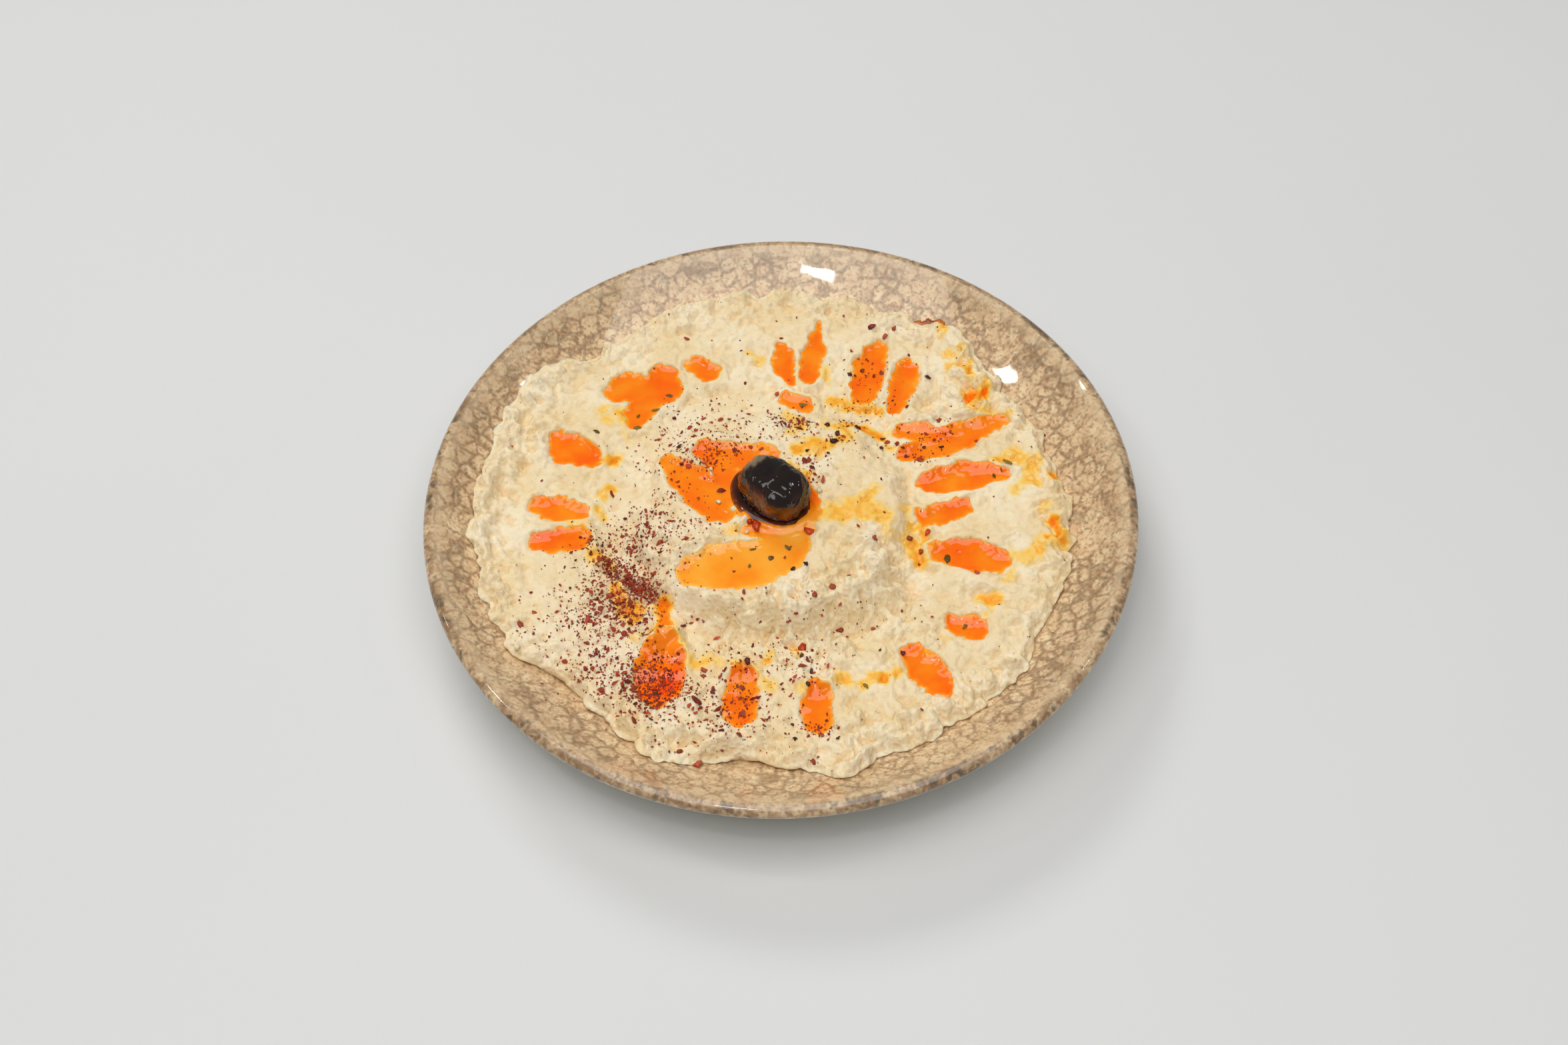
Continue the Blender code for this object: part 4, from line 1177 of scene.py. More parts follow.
@dataclass
class PasteBody:
    """The hummus: a broad ring swept round a low mound, dented by the spoon, with a torn and beaded edge."""

    plate: CoupePlate
    olive: Olive
    pools: list[Pool]
    cells: int = 280
    reach: float = 82.0
    wall_rows: int = 6
    edge: float = 2.8
    least: float = 1.0
    ring_inner: float = 16.4
    ring_outer: float = 17.9
    mound: tuple[float, float] = (-1.5, 2.5)
    foot: float = 41.0
    side_near: float = 5.5
    ledge: float = 37.6
    side_far: float = 15.0
    top_near: float = 21.6
    top_far: float = 20.6
    trough: float = 1.2
    trough_width: float = 4.5
    ledge_fall: float = 2.8
    lift: float = 0.05

    def outline(self, angle: Array) -> Array:
        """Radius of the torn edge: a Catmull-Rom curve through the outline's radii, with rounded lumps.

        The lumps are noise of 12 mm and nubs of 7.5, 3.6 and 1.9 mm, stronger in some stretches than in
        others.

        Args:
            angle: Angle from +X towards +Y.

        Returns:
            Radii, in millimetres.
        """
        table, count = np.array(OUTLINE), len(OUTLINE)
        place = np.mod(angle / (2.0 * math.pi), 1.0) * count
        step = np.floor(place).astype(int)
        t = place - step
        a, b, c, d = (table[(step + k) % count] for k in (-1, 0, 1, 2))
        smooth = b + 0.5 * t * (c - a + t * (2 * a - 5 * b + 4 * c - d + t * (3 * (b - c) + d - a)))
        east, north = self.reach * np.cos(angle), self.reach * np.sin(angle)
        torn = np.clip(0.9 + 1.3 * gradient_noise(east / 24.0, north / 24.0, 2), 0.45, 1.5)
        ragged = 1.8 * gradient_noise(east / 12.0, north / 12.0, 3) + 2.6 * nubs(east, north, 7.5, 4)
        ragged = ragged + 1.5 * nubs(east, north, 3.6, 5) + 0.5 * nubs(east, north, 1.9, 6)
        return smooth - 0.4 + torn * ragged

    def coarseness(self, x: Array, y: Array) -> Array:
        """How lumpy the paste is: about 0.75 where it was swept, more where it was dropped or torn.

        Args:
            x: Eastward places, in millimetres.
            y: Northward places, in millimetres.

        Returns:
            Factors of up to 2.5.
        """
        share = np.hypot(x, y) / self.outline(np.arctan2(y, x))
        total = 0.75 + 0.8 * smoothstep(0.84, 0.96, share)
        total = total + 0.25 * gradient_noise(x / 11.0, y / 11.0, 20)
        for px, py, reach, more in ROUGH_PLACES:
            total = total + 1.3 * more * np.exp(-((x - px) ** 2 + (y - py) ** 2) / reach**2)
        return np.minimum(total, 2.5)

    def curds(self, x: Array, y: Array) -> Array:
        """Height of the lumps, and of the folds that were drawn out the way the spoon went.

        The lumps are swells of 6.5 and 3.1 mm under rounded nubs of 3.3 and 1.8 mm. The folds are noise over
        radius and angle, 5 mm broad with a trace of 1.5 mm streaks.

        Args:
            x: Eastward places, in millimetres.
            y: Northward places, in millimetres.

        Returns:
            Heights, in millimetres.
        """
        bend = 3.0 * gradient_noise(x / 9.0, y / 9.0, 21)
        wide = x + bend
        deep = y - 1.1 * bend
        lumps = 0.9 * gradient_noise(wide / 6.5, deep / 6.5, 22)
        lumps = lumps + 0.4 * gradient_noise(wide / 3.1, deep / 3.1, 23)
        lumps = lumps + 1.3 * nubs(wide, deep, 3.3, 17) + 0.85 * nubs(x + 0.3 * bend, y, 1.8, 24)
        r, turns = np.hypot(x, y), np.mod(np.arctan2(y, x) / (2.0 * math.pi), 1.0)
        streak = gradient_noise((r + 0.6 * bend) / 1.5, turns * 72.0, 25, 72)
        broad = gradient_noise((r + 1.4 * bend) / 5.0, turns * 24.0, 26, 24)
        swept = smoothstep(38.0, 46.0, r)
        return lumps * self.coarseness(x, y) + swept * (0.1 * streak + 0.9 * broad * (0.35 + self.stir(x, y)))

    def stir(self, x: Array, y: Array) -> Array:
        """How strongly the folds stand up: most at the left and far edge, least between the wells.

        Args:
            x: Eastward places, in millimetres.
            y: Northward places, in millimetres.

        Returns:
            Shares from 0 to 1.
        """
        angle = np.arctan2(y, x)
        left = 0.5 + 0.5 * np.cos(angle - math.radians(160.0))
        cloud = 0.3 * gradient_noise(x / 15.0, y / 15.0, 19)
        return np.clip(left * smoothstep(52.0, 72.0, np.hypot(x, y)) + cloud, 0.0, 1.0)

    def shaped(self, x: Array, y: Array) -> Array:
        """Mound, ring and strokes, before curds and dents.

        The mound rises in a smooth step, and on the near side it breaks off at a ledge, from which the height
        dies away by e for every ledge_fall.

        Args:
            x: Eastward places, in millimetres.
            y: Northward places, in millimetres.

        Returns:
            Heights, in millimetres.
        """
        r = np.hypot(x - self.mound[0], y - self.mound[1])
        far = 0.5 + 0.5 * np.sin(np.arctan2(y - self.mound[1], x - self.mound[0]))
        ring = mix(self.ring_inner, self.ring_outer, smoothstep(46.0, 68.0, r))
        trough = self.trough * np.exp(-(((r - self.foot - self.trough_width) / self.trough_width) ** 2))
        wander = 3.0 * gradient_noise(x / 8.5, y / 8.5, 27) + 0.8 * gradient_noise(x / 3.6, y / 3.6, 30)
        side = mix(self.side_near, self.side_far, far)
        top = mix(self.top_near, self.top_far, far)
        soft = smoothstep(self.foot, self.foot - side, r + wander)
        crisp = np.exp(-np.clip(r + 0.6 * wander - self.ledge, 0.0, None) / self.ledge_fall)
        z = mix(ring - trough, top, mix(soft, crisp, smoothstep(0.3, 0.12, far)))
        return z + sum(stroke.rise(x, y) for stroke in STROKES)

    def height(self, x: Array, y: Array) -> Array:
        """Height of the paste: shape and curds, drawn down at the beaded edge, with every bowl pressed in.

        Args:
            x: Eastward places, in millimetres.
            y: Northward places, in millimetres.

        Returns:
            Heights, in millimetres.
        """
        reach = self.outline(np.arctan2(y, x))
        r = np.hypot(x, y)
        curds = self.curds(x, y)
        z = self.shaped(x, y) + curds
        edge = np.maximum(self.plate.floor(reach) + self.edge, self.ring_outer - 0.4) + 0.8 * curds
        start = 0.905 - 0.03 * np.sin(np.arctan2(y, x)) + 0.03 * gradient_noise(x / 14.0, y / 14.0, 16)
        z = mix(z, edge, smoothstep(start, 1.0, r / reach))
        bead = 2.6 * np.clip(gradient_noise(x / 4.5, y / 4.5, 18) + 0.15, 0.0, None)
        z = z + bead * np.exp(-(((reach - r - 2.2) / 1.8) ** 2)) - 1.1 * smoothstep(1.8, 0.0, reach - r)
        for pool in self.pools:
            near = pool.near(x, y)
            if near.any():
                z = np.array(z)
                z[near] = pool.press(x[near], y[near], z[near], curds[near])
        return np.maximum(z, self.plate.floor(r) + self.least)

    def film(self, x: Array, y: Array) -> Array:
        """Thickness of the oil film, on the smears and just outside each pool's shore.

        Args:
            x: Eastward places, in millimetres.
            y: Northward places, in millimetres.

        Returns:
            Thicknesses, in millimetres.
        """
        thick = np.zeros(np.shape(x))
        ragged = 0.9 * gradient_noise(x / 1.6, y / 1.6, 28) + 2.4 * gradient_noise(x / 4.6, y / 4.6, 29)
        for chain, amount in FILMS:
            thick = np.maximum(thick, amount * smoothstep(0.9, -2.2, chain_distance(x, y, chain) + ragged))
        for pool in self.pools:
            thick = np.maximum(thick, 0.06 * smoothstep(0.8, 0.0, pool.distance(x, y) + 0.3 * ragged))
        return thick

    def dust(self, x: Array, y: Array) -> Array:
        """How far fine sumac reddens the paste, from 0 to about 1, as a sum of bells."""
        return sum(w * np.exp(-(((x - px) / sx) ** 2) - ((y - py) / sy) ** 2) for px, py, sx, sy, w in DUST)

    def build(self) -> bpy.types.Object:
        """The upper face on a bent square grid, a bulging wall down to the plate, and an underside on it.

        Returns:
            The hummus.
        """
        u, v = disc_grid(self.cells)
        reach = self.outline(np.arctan2(v, u))
        x, y = u * reach, v * reach
        z = self.height(x, y)
        # hollow: how far each point lies below the paste round it. The finish paints shade in the hollows by
        # it, and gathers oil film there.
        hollow = np.clip((blurred(z, 2) - z) / 0.3, -1.0, 1.0) + np.clip((blurred(z, 6) - z) / 0.8, -1.0, 1.0)
        top = np.stack([x, y, z], axis=-1).reshape(-1, 3)
        row = self.cells + 1
        corner = (np.arange(self.cells)[:, None] * row + np.arange(self.cells)).ravel()
        faces = [np.stack([corner, corner + 1, corner + row + 1, corner + row], axis=-1)]
        number = np.arange(row * row).reshape(row, row)
        loop = np.concatenate([number[0, :-1], number[:-1, -1], number[-1, :0:-1], number[:0:-1, 0]])
        rim = top[loop]
        points = [top]
        count = len(top)
        spot = np.hypot(rim[:, 0], rim[:, 1])
        bulge = 0.9 + 1.6 * nubs(rim[:, 0], rim[:, 1], 4.2, 7)
        wall = [(1.0, t) for t in np.linspace(0.0, 1.0, self.wall_rows + 1)[1:]]
        rows = wall + [(shrink, 1.0) for shrink in (0.97, 0.8, 0.5, 0.2)]
        last = loop
        for shrink, t in rows:
            out = spot * shrink + bulge * math.sin(math.pi * t) + 0.7 * t
            down = mix(rim[:, 2], self.plate.floor(out) + self.lift, t**1.2)
            ring = np.stack([rim[:, 0] / spot * out, rim[:, 1] / spot * out, down], axis=-1)
            here = count + np.arange(len(loop))
            faces.append(np.stack([last, here, np.roll(here, -1), np.roll(last, -1)], axis=-1))
            points.append(ring)
            count += len(loop)
            last = here
        points.append(np.array([[0.0, 0.0, self.plate.floor_z + self.lift]]))
        faces.append(np.stack([last, np.full_like(last, count), np.roll(last, -1)], axis=-1))
        everything = np.concatenate(points)
        px, py = everything[:, 0], everything[:, 1]
        values = {
            "film_mm": self.film(px, py),
            "dust": self.dust(px, py),
            "rough": self.coarseness(px, py) / 1.8,
            "hollow": np.append(hollow.ravel(), np.zeros(len(everything) - hollow.size)),
        }
        return Surface(everything, faces, values).piece("hummus", ChickpeaPaste().material())

    def ground(self, x: Array, y: Array) -> Array:
        """Height of whatever shows from above: oil, paste or plate.

        Args:
            x: Eastward places, in millimetres.
            y: Northward places, in millimetres.

        Returns:
            Heights, in millimetres.
        """
        r = np.hypot(x, y)
        inside = r < self.outline(np.arctan2(y, x))
        z = np.where(inside, self.height(x, y), self.plate.floor(r))
        for pool in self.pools:
            near = pool.near(x, y) & inside
            away = pool.distance(x[near], y[near])
            level = np.where(away < 1.2, pool.top(x[near], y[near], away), -1.0)
            z[near] = np.maximum(z[near], level)
        return z

    def lean(self, x: Array, y: Array, step: float = 0.45) -> Array:
        """Unit normals of the ground, from its height a step each way.

        Args:
            x: Eastward places, in millimetres.
            y: Northward places, in millimetres.
            step: How far to look each way, in millimetres.

        Returns:
            Rows of x, y and z.
        """
        dx = (self.ground(x + step, y) - self.ground(x - step, y)) / (2 * step)
        dy = (self.ground(x, y + step) - self.ground(x, y - step)) / (2 * step)
        return unit(np.stack([-dx, -dy, np.ones_like(dx)], axis=-1))


@dataclass
class OilPools:
    """The oil in the crater and the wells, each a thin closed lens that reaches just into the paste."""

    paste: PasteBody
    pitch: float = 0.36
    reach: float = 1.3

    def build(self) -> Iterable[tuple[bpy.types.Object, Pool]]:
        """Makes one piece for each pool, all in one finish.

        Yields:
            Each piece, with its pool.
        """
        finish = ChilliOil().material()
        for pool in self.paste.pools:
            low_x, high_x, low_y, high_y = pool.extent(self.reach + 1.0)
            x, y = np.meshgrid(np.arange(low_x, high_x, self.pitch), np.arange(low_y, high_y, self.pitch))
            away = pool.distance(x, y)
            bed = self.paste.height(x, y)
            lid = pool.top(x, y, away) - 1.5 * np.clip(away - 0.3, 0.0, None)
            below = np.minimum(lid - 0.3, bed - 0.15)
            depth = (1.0 + 0.35 * np.clip(lid - bed, 0.0, 2.0)) * pool.pigment(x, y)
            surface = closed_sheet(x, y, lid, below, away < self.reach, {"depth_mm": depth})
            yield surface.piece("chilli_" + pool.node, finish), pool


# Chains of the oil that has run out on to the plate, east and north of the spread.
SEEPS = {
    "right": (((79.0, 0.5, 1.2), (81.0, 4.0, 1.8), (80.0, 8.5, 1.4)),),
    "far": (((38.0, 71.5, 0.9), (44.0, 71.0, 1.5), (50.5, 69.5, 1.0)),),
}


@dataclass
class OilSeeps:
    """Thin amber oil that has run out from under the hummus on to the plate in two places."""

    paste: PasteBody
    pitch: float = 0.5
    thick: float = 0.5

    def build(self) -> bpy.types.Object:
        """A closed sheet for each place, domed by its distance from the torn rim, joined into one mesh.

        Returns:
            The piece.
        """
        parts = []
        for chains in SEEPS.values():
            pool = Pool("seep", 0.0, 0.0, chains)
            low_x, high_x, low_y, high_y = pool.extent(2.0)
            x, y = np.meshgrid(np.arange(low_x, high_x, self.pitch), np.arange(low_y, high_y, self.pitch))
            away = pool.distance(x, y)
            floor = self.paste.plate.floor(np.hypot(x, y))
            dome = self.thick * np.sqrt(np.clip(-away / 2.0, 0.0, 1.0))
            thin = mix(1.1, 0.75, smoothstep(0.0, -2.0, away))
            parts.append(closed_sheet(x, y, floor + 0.06 + dome, floor - 0.3, away < 0.0, {"thin": thin}))
        counts = np.cumsum([0] + [len(part.points) for part in parts[:-1]])
        faces = [rows + start for part, start in zip(parts, counts) for rows in part.faces]
        thin = np.concatenate([part.values["thin"] for part in parts])
        points = np.concatenate([part.points for part in parts])
        return Surface(points, faces, {"thin": thin}).piece("oil_seeps", AmberOil().material())


def closed_sheet(
    x: Array, y: Array, upper: Array, lower: Array, keep: Array, values: dict[str, Array]
) -> Surface:
    """A slab between two heights over a grid, on the cells with all corners kept, with walls at its rim.

    Args:
        x: Grid of x.
        y: Grid of y.
        upper: Height of the upper face at each grid point.
        lower: Height of the lower face.
        keep: Whether each grid point may be used.
        values: Named values for each grid point, which both faces get.

    Returns:
        The closed surface, with its faces outwards.
    """
    rows, columns = x.shape
    number = np.arange(rows * columns).reshape(rows, columns)
    cell = keep[:-1, :-1] & keep[1:, :-1] & keep[:-1, 1:] & keep[1:, 1:]
    a, b, c, d = number[:-1, :-1], number[:-1, 1:], number[1:, 1:], number[1:, :-1]
    under = rows * columns
    top = np.stack([a[cell], b[cell], c[cell], d[cell]], axis=-1)
    faces = [top, top[:, ::-1] + under]
    framed = np.pad(cell, 1)
    sides = (
        (a, b, framed[:-2, 1:-1]),
        (b, c, framed[1:-1, 2:]),
        (c, d, framed[2:, 1:-1]),
        (d, a, framed[1:-1, :-2]),
    )
    for start, end, neighbour in sides:
        rim = cell & ~neighbour
        first, second = start[rim], end[rim]
        faces.append(np.stack([first, first + under, second + under, second], axis=-1))
    flat = np.stack([x, y], axis=-1).reshape(-1, 2)
    points = np.concatenate([np.column_stack([flat, upper.ravel()]), np.column_stack([flat, lower.ravel()])])
    used = np.unique(np.concatenate([f.ravel() for f in faces]))
    renumber = np.zeros(len(points), int)
    renumber[used] = np.arange(len(used))
    kept = {label: np.tile(numbers.ravel(), 2)[used] for label, numbers in values.items()}
    return Surface(points[used], [renumber[f] for f in faces], kept)


@dataclass
class OilCollar:
    """Thick dark oil that stands round the olive as a low dome, wider on the left and the near side."""

    olive: Olive
    level: float
    shift: tuple[float, float] = (-0.8, -0.4)
    half: tuple[float, float] = (13.1, 10.0)
    height: float = 3.4
    around: int = 220
    rows: int = 22

    def build(self) -> bpy.types.Object:
        """Point (angle, t) runs from the foot over a rounded shoulder to the top, which the olive hides.

        Out goes as the cosine of t to the power 0.4 and up as its sine to 0.6, inside an outline that waves a
        little.

        Returns:
            The piece.
        """
        angle = np.linspace(0.0, 2.0 * math.pi, self.around, endpoint=False)[None, :]
        t = np.linspace(0.0, math.pi / 2, self.rows)[:-1, None]
        turns = angle / (2.0 * math.pi)
        wave = 0.045 * gradient_noise(np.zeros_like(turns), turns * 9.0, 41, 9)
        shrink = np.cos(t) ** 0.4 * (1.0 + wave)
        along = self.half[0] * shrink * np.cos(angle)
        across = self.half[1] * shrink * np.sin(angle)
        cosine, sine = math.cos(self.olive.turn), math.sin(self.olive.turn)
        x = self.olive.middle[0] + self.shift[0] + along * cosine - across * sine
        y = self.olive.middle[1] + self.shift[1] + along * sine + across * cosine
        low = 0.5 + 0.5 * np.cos(angle - math.radians(215.0) - self.olive.turn)
        z = self.level - 0.35 + self.height * (0.6 + 0.4 * low) * np.sin(t) ** 0.6
        dome = np.stack([x, y, z], axis=-1)
        foot = dome[:1] - np.array([0.0, 0.0, 0.9])
        points = np.concatenate([foot, dome]).reshape(-1, 3)
        ends = np.array([[x.mean(), y.mean(), self.level - 1.25], [x.mean(), y.mean(), z.max() + 0.02]])
        here = np.arange(self.around)
        after = np.roll(here, -1)
        bottom = np.stack([np.full_like(here, len(points)), after, here], axis=-1)
        last = (self.rows - 1) * self.around
        lid = np.stack([last + here, last + after, np.full_like(here, len(points) + 1)], axis=-1)
        share = np.concatenate([[1.0], np.cos(t[:, 0]) ** 2])
        thin = np.append(np.repeat(share, self.around), [1.0, 0.0])
        faces = [ring_quads(self.rows, self.around), bottom, lid]
        surface = Surface(np.concatenate([points, ends]), faces, {"thin": thin})
        return surface.piece("oil_collar", AmberOil().material())


# The scatter.


class Chip(Enum):
    """Shapes of a scattered bit, as its length, width and thickness beside its size."""

    DUST = (1.0, 0.7, 0.5)
    FLAKE = (1.0, 0.68, 0.3)
    GRAIN = (1.0, 0.75, 0.45)
    LEAF = (1.0, 0.55, 0.14)


def faceted_ball() -> tuple[Array, Array]:
    """An octahedron with each face split into four, its points pushed out to a ball.

    Returns:
        Its 18 points and 32 triangles.
    """
    points = np.array([(1, 0, 0), (0, 1, 0), (-1, 0, 0), (0, -1, 0), (0, 0, 1), (0, 0, -1)], float)
    faces = np.array([(0, 1, 4), (1, 2, 4), (2, 3, 4), (3, 0, 4), (1, 0, 5), (2, 1, 5), (3, 2, 5), (0, 3, 5)])
    edges = np.concatenate([faces[:, [0, 1]], faces[:, [1, 2]], faces[:, [2, 0]]])
    pairs, where = np.unique(np.sort(edges, axis=1), axis=0, return_inverse=True)
    ab, bc, ca = len(points) + where.reshape(3, -1)
    points = np.concatenate([points, unit(points[pairs].sum(1))])
    a, b, c = faces.T
    split = ((a, ab, ca), (ab, b, bc), (ca, bc, c), (ab, bc, ca))
    return points, np.concatenate([np.stack(corners, axis=-1) for corners in split])


@dataclass
class Scatter:
    """Chips of one kind laid on the ground, joined into one mesh."""

    name: str
    kind: Chip
    finish: Finish
    places: Array
    sizes: Array
    tones: Array
    paste: PasteBody
    seed: int
    tilt: float = 0.5
    sink: float = 0.25

    def build(self) -> bpy.types.Object:
        """Each chip is a ball with its points pushed in or out at random, spun, tilted and laid down.

        Returns:
            The joined piece.
        """
        rng = np.random.default_rng(self.seed)
        ball, faces = faceted_ball()
        count = len(self.places)
        x, y = self.places.T
        normal = unit(self.paste.lean(x, y) + self.tilt * rng.normal(size=(count, 3)) * 0.5)
        spin = rng.uniform(0.0, 2.0 * math.pi, count)
        ahead = unit(np.cross(normal, np.stack([np.cos(spin), np.sin(spin), np.zeros(count)], axis=-1)))
        aside = np.cross(normal, ahead)
        shape = ball[None] * np.array(self.kind.value) * rng.uniform(0.5, 1.2, (count, len(ball), 1))
        shape = shape * rng.uniform(0.75, 1.2, (count, 1, 3)) * 0.5 * self.sizes[:, None, None]
        axes = zip(np.split(shape, 3, axis=-1), (ahead, aside, normal))
        turned = sum(part * axis[:, None] for part, axis in axes)
        thick = 0.5 * self.sizes * self.kind.value[2]
        centre = np.stack([x, y, self.paste.ground(x, y)], axis=-1)
        centre = centre + normal * (thick * (1.0 - self.sink))[:, None]
        points = (turned + centre[:, None]).reshape(-1, 3)
        rows = (faces[None] + len(ball) * np.arange(count)[:, None, None]).reshape(-1, 3)
        values = {"tone": np.repeat(self.tones, len(ball))}
        smooth = self.kind is Chip.GRAIN
        return Surface(points, [rows], values).piece(self.name, self.finish.material(), smooth)


# Sumac fell in bells of (x, y, width, depth, count), and the larger bits lie at (x, y).
SUMAC_BELLS = (
    (-49.0, -14.0, 1.9, 1.1, 50), (-45.8, -16.4, 1.9, 1.2, 95), (-42.3, -19.4, 1.8, 1.1, 130),
    (-39.2, -22.0, 1.8, 1.1, 150), (-36.5, -24.3, 1.5, 1.1, 90), (-43.0, -28.0, 6.0, 5.0, 380),
    (-35.5, -56.0, 4.8, 3.6, 420), (-37.0, -50.0, 3.6, 3.0, 80), (-50.0, -47.0, 8.0, 9.0, 360),
    (-28.0, -61.0, 14.0, 5.0, 280), (-45.0, -62.0, 6.0, 5.0, 110), (-50.0, -32.0, 7.0, 6.0, 360),
    (-48.0, -12.0, 6.0, 6.0, 320), (-38.0, -8.0, 6.0, 7.0, 340), (-28.0, -4.0, 7.0, 7.0, 120),
    (-30.0, 22.0, 8.0, 8.0, 130), (-14.0, 29.0, 11.0, 4.0, 120), (-18.0, 36.0, 9.0, 5.0, 70),
    (-20.0, 18.0, 4.0, 3.0, 100), (-15.0, 22.0, 6.0, 2.0, 60), (4.0, 31.0, 4.0, 3.5, 120),
    (8.0, 13.0, 2.2, 4.0, 60), (18.0, 26.0, 7.0, 6.0, 100), (24.0, 50.0, 3.5, 5.0, 40),
    (26.0, 38.0, 6.0, 3.0, 60), (46.0, 27.0, 4.0, 2.5, 50), (40.0, 21.0, 4.0, 2.0, 40),
    (-5.0, -46.0, 12.0, 6.0, 110), (5.0, -50.0, 4.0, 4.0, 60), (-12.0, -60.0, 5.0, 6.0, 70),
    (8.0, -70.5, 3.0, 1.6, 70), (-8.0, -70.0, 8.0, 3.0, 60), (-20.0, -66.0, 5.0, 5.0, 80),
    (0.0, -35.0, 20.0, 3.0, 60), (-58.0, -55.0, 4.0, 3.0, 60), (-30.0, -79.0, 10.0, 2.5, 70),
    (0.0, -81.0, 8.0, 2.0, 30), (-68.0, -38.0, 5.0, 5.0, 40),
)
SEEDS = (
    (13.3, -28.5), (25.7, -12.5), (8.5, -32.5), (15.5, -38.0), (24.5, -37.7), (-14.5, -43.0), (-21.7, -51.5),
    (6.5, -80.5), (-23.5, -79.8), (-28.0, -77.0), (12.8, 9.0), (33.0, 64.0), (36.0, 67.8), (29.0, 68.0),
    (-72.0, -36.5), (-47.8, -25.0), (36.0, -9.4), (53.8, -21.8),
)
GRAINS = (
    (26.0, -46.8), (-12.5, -46.0), (-10.0, -50.3), (-27.5, -35.3), (-39.3, -35.5), (-37.0, -61.0),
    (-17.0, -71.8), (-18.0, -66.5), (6.0, -58.0), (2.0, -74.0), (13.6, -74.0), (5.0, -47.0), (6.5, -49.0),
    (7.0, -52.0), (14.2, 30.0), (16.0, 23.0), (17.0, 26.5), (29.5, 22.5), (30.3, 27.0), (21.7, 50.7),
    (29.0, 50.5), (44.5, 48.5), (47.0, 23.0), (32.0, -47.8), (-28.5, 24.2), (-33.5, 22.7), (-28.0, 16.5),
    (-25.0, 17.0), (-1.5, 32.5), (6.0, 28.8), (2.0, 30.0), (-50.5, -8.0), (-43.0, -9.0), (3.0, -21.0),
    (6.5, -21.0),
)
PEPPERS = ((-6.8, -6.6), (41.0, -7.6), (39.3, -13.8), (0.2, 43.2), (7.8, -8.6), (4.8, -44.0), (-8.6, -5.4))
CRUMBS = (
    (-86.0, 4.0), (-84.5, 9.0), (-72.0, -44.0), (-60.0, -60.0), (-38.0, -77.0), (60.0, -60.0), (73.0, -42.0),
    (-19.5, 14.5), (-17.2, 2.6), (-11.0, -3.8), (11.0, 4.5), (-79.0, -38.0), (-9.5, -8.2),
)
LEAVES = (
    (-8.0, -14.0), (-3.0, -17.0), (2.0, -14.0), (-9.0, -19.5), (-41.0, 33.5), (-41.0, 38.0), (-36.0, 40.0),
    (-32.0, 45.3), (-53.0, 32.0), (7.5, 39.5), (46.0, -17.0), (49.5, -39.3), (21.5, -58.0), (-38.5, -39.0),
    (61.5, 12.0), (63.6, 13.4), (65.4, 14.8),
)


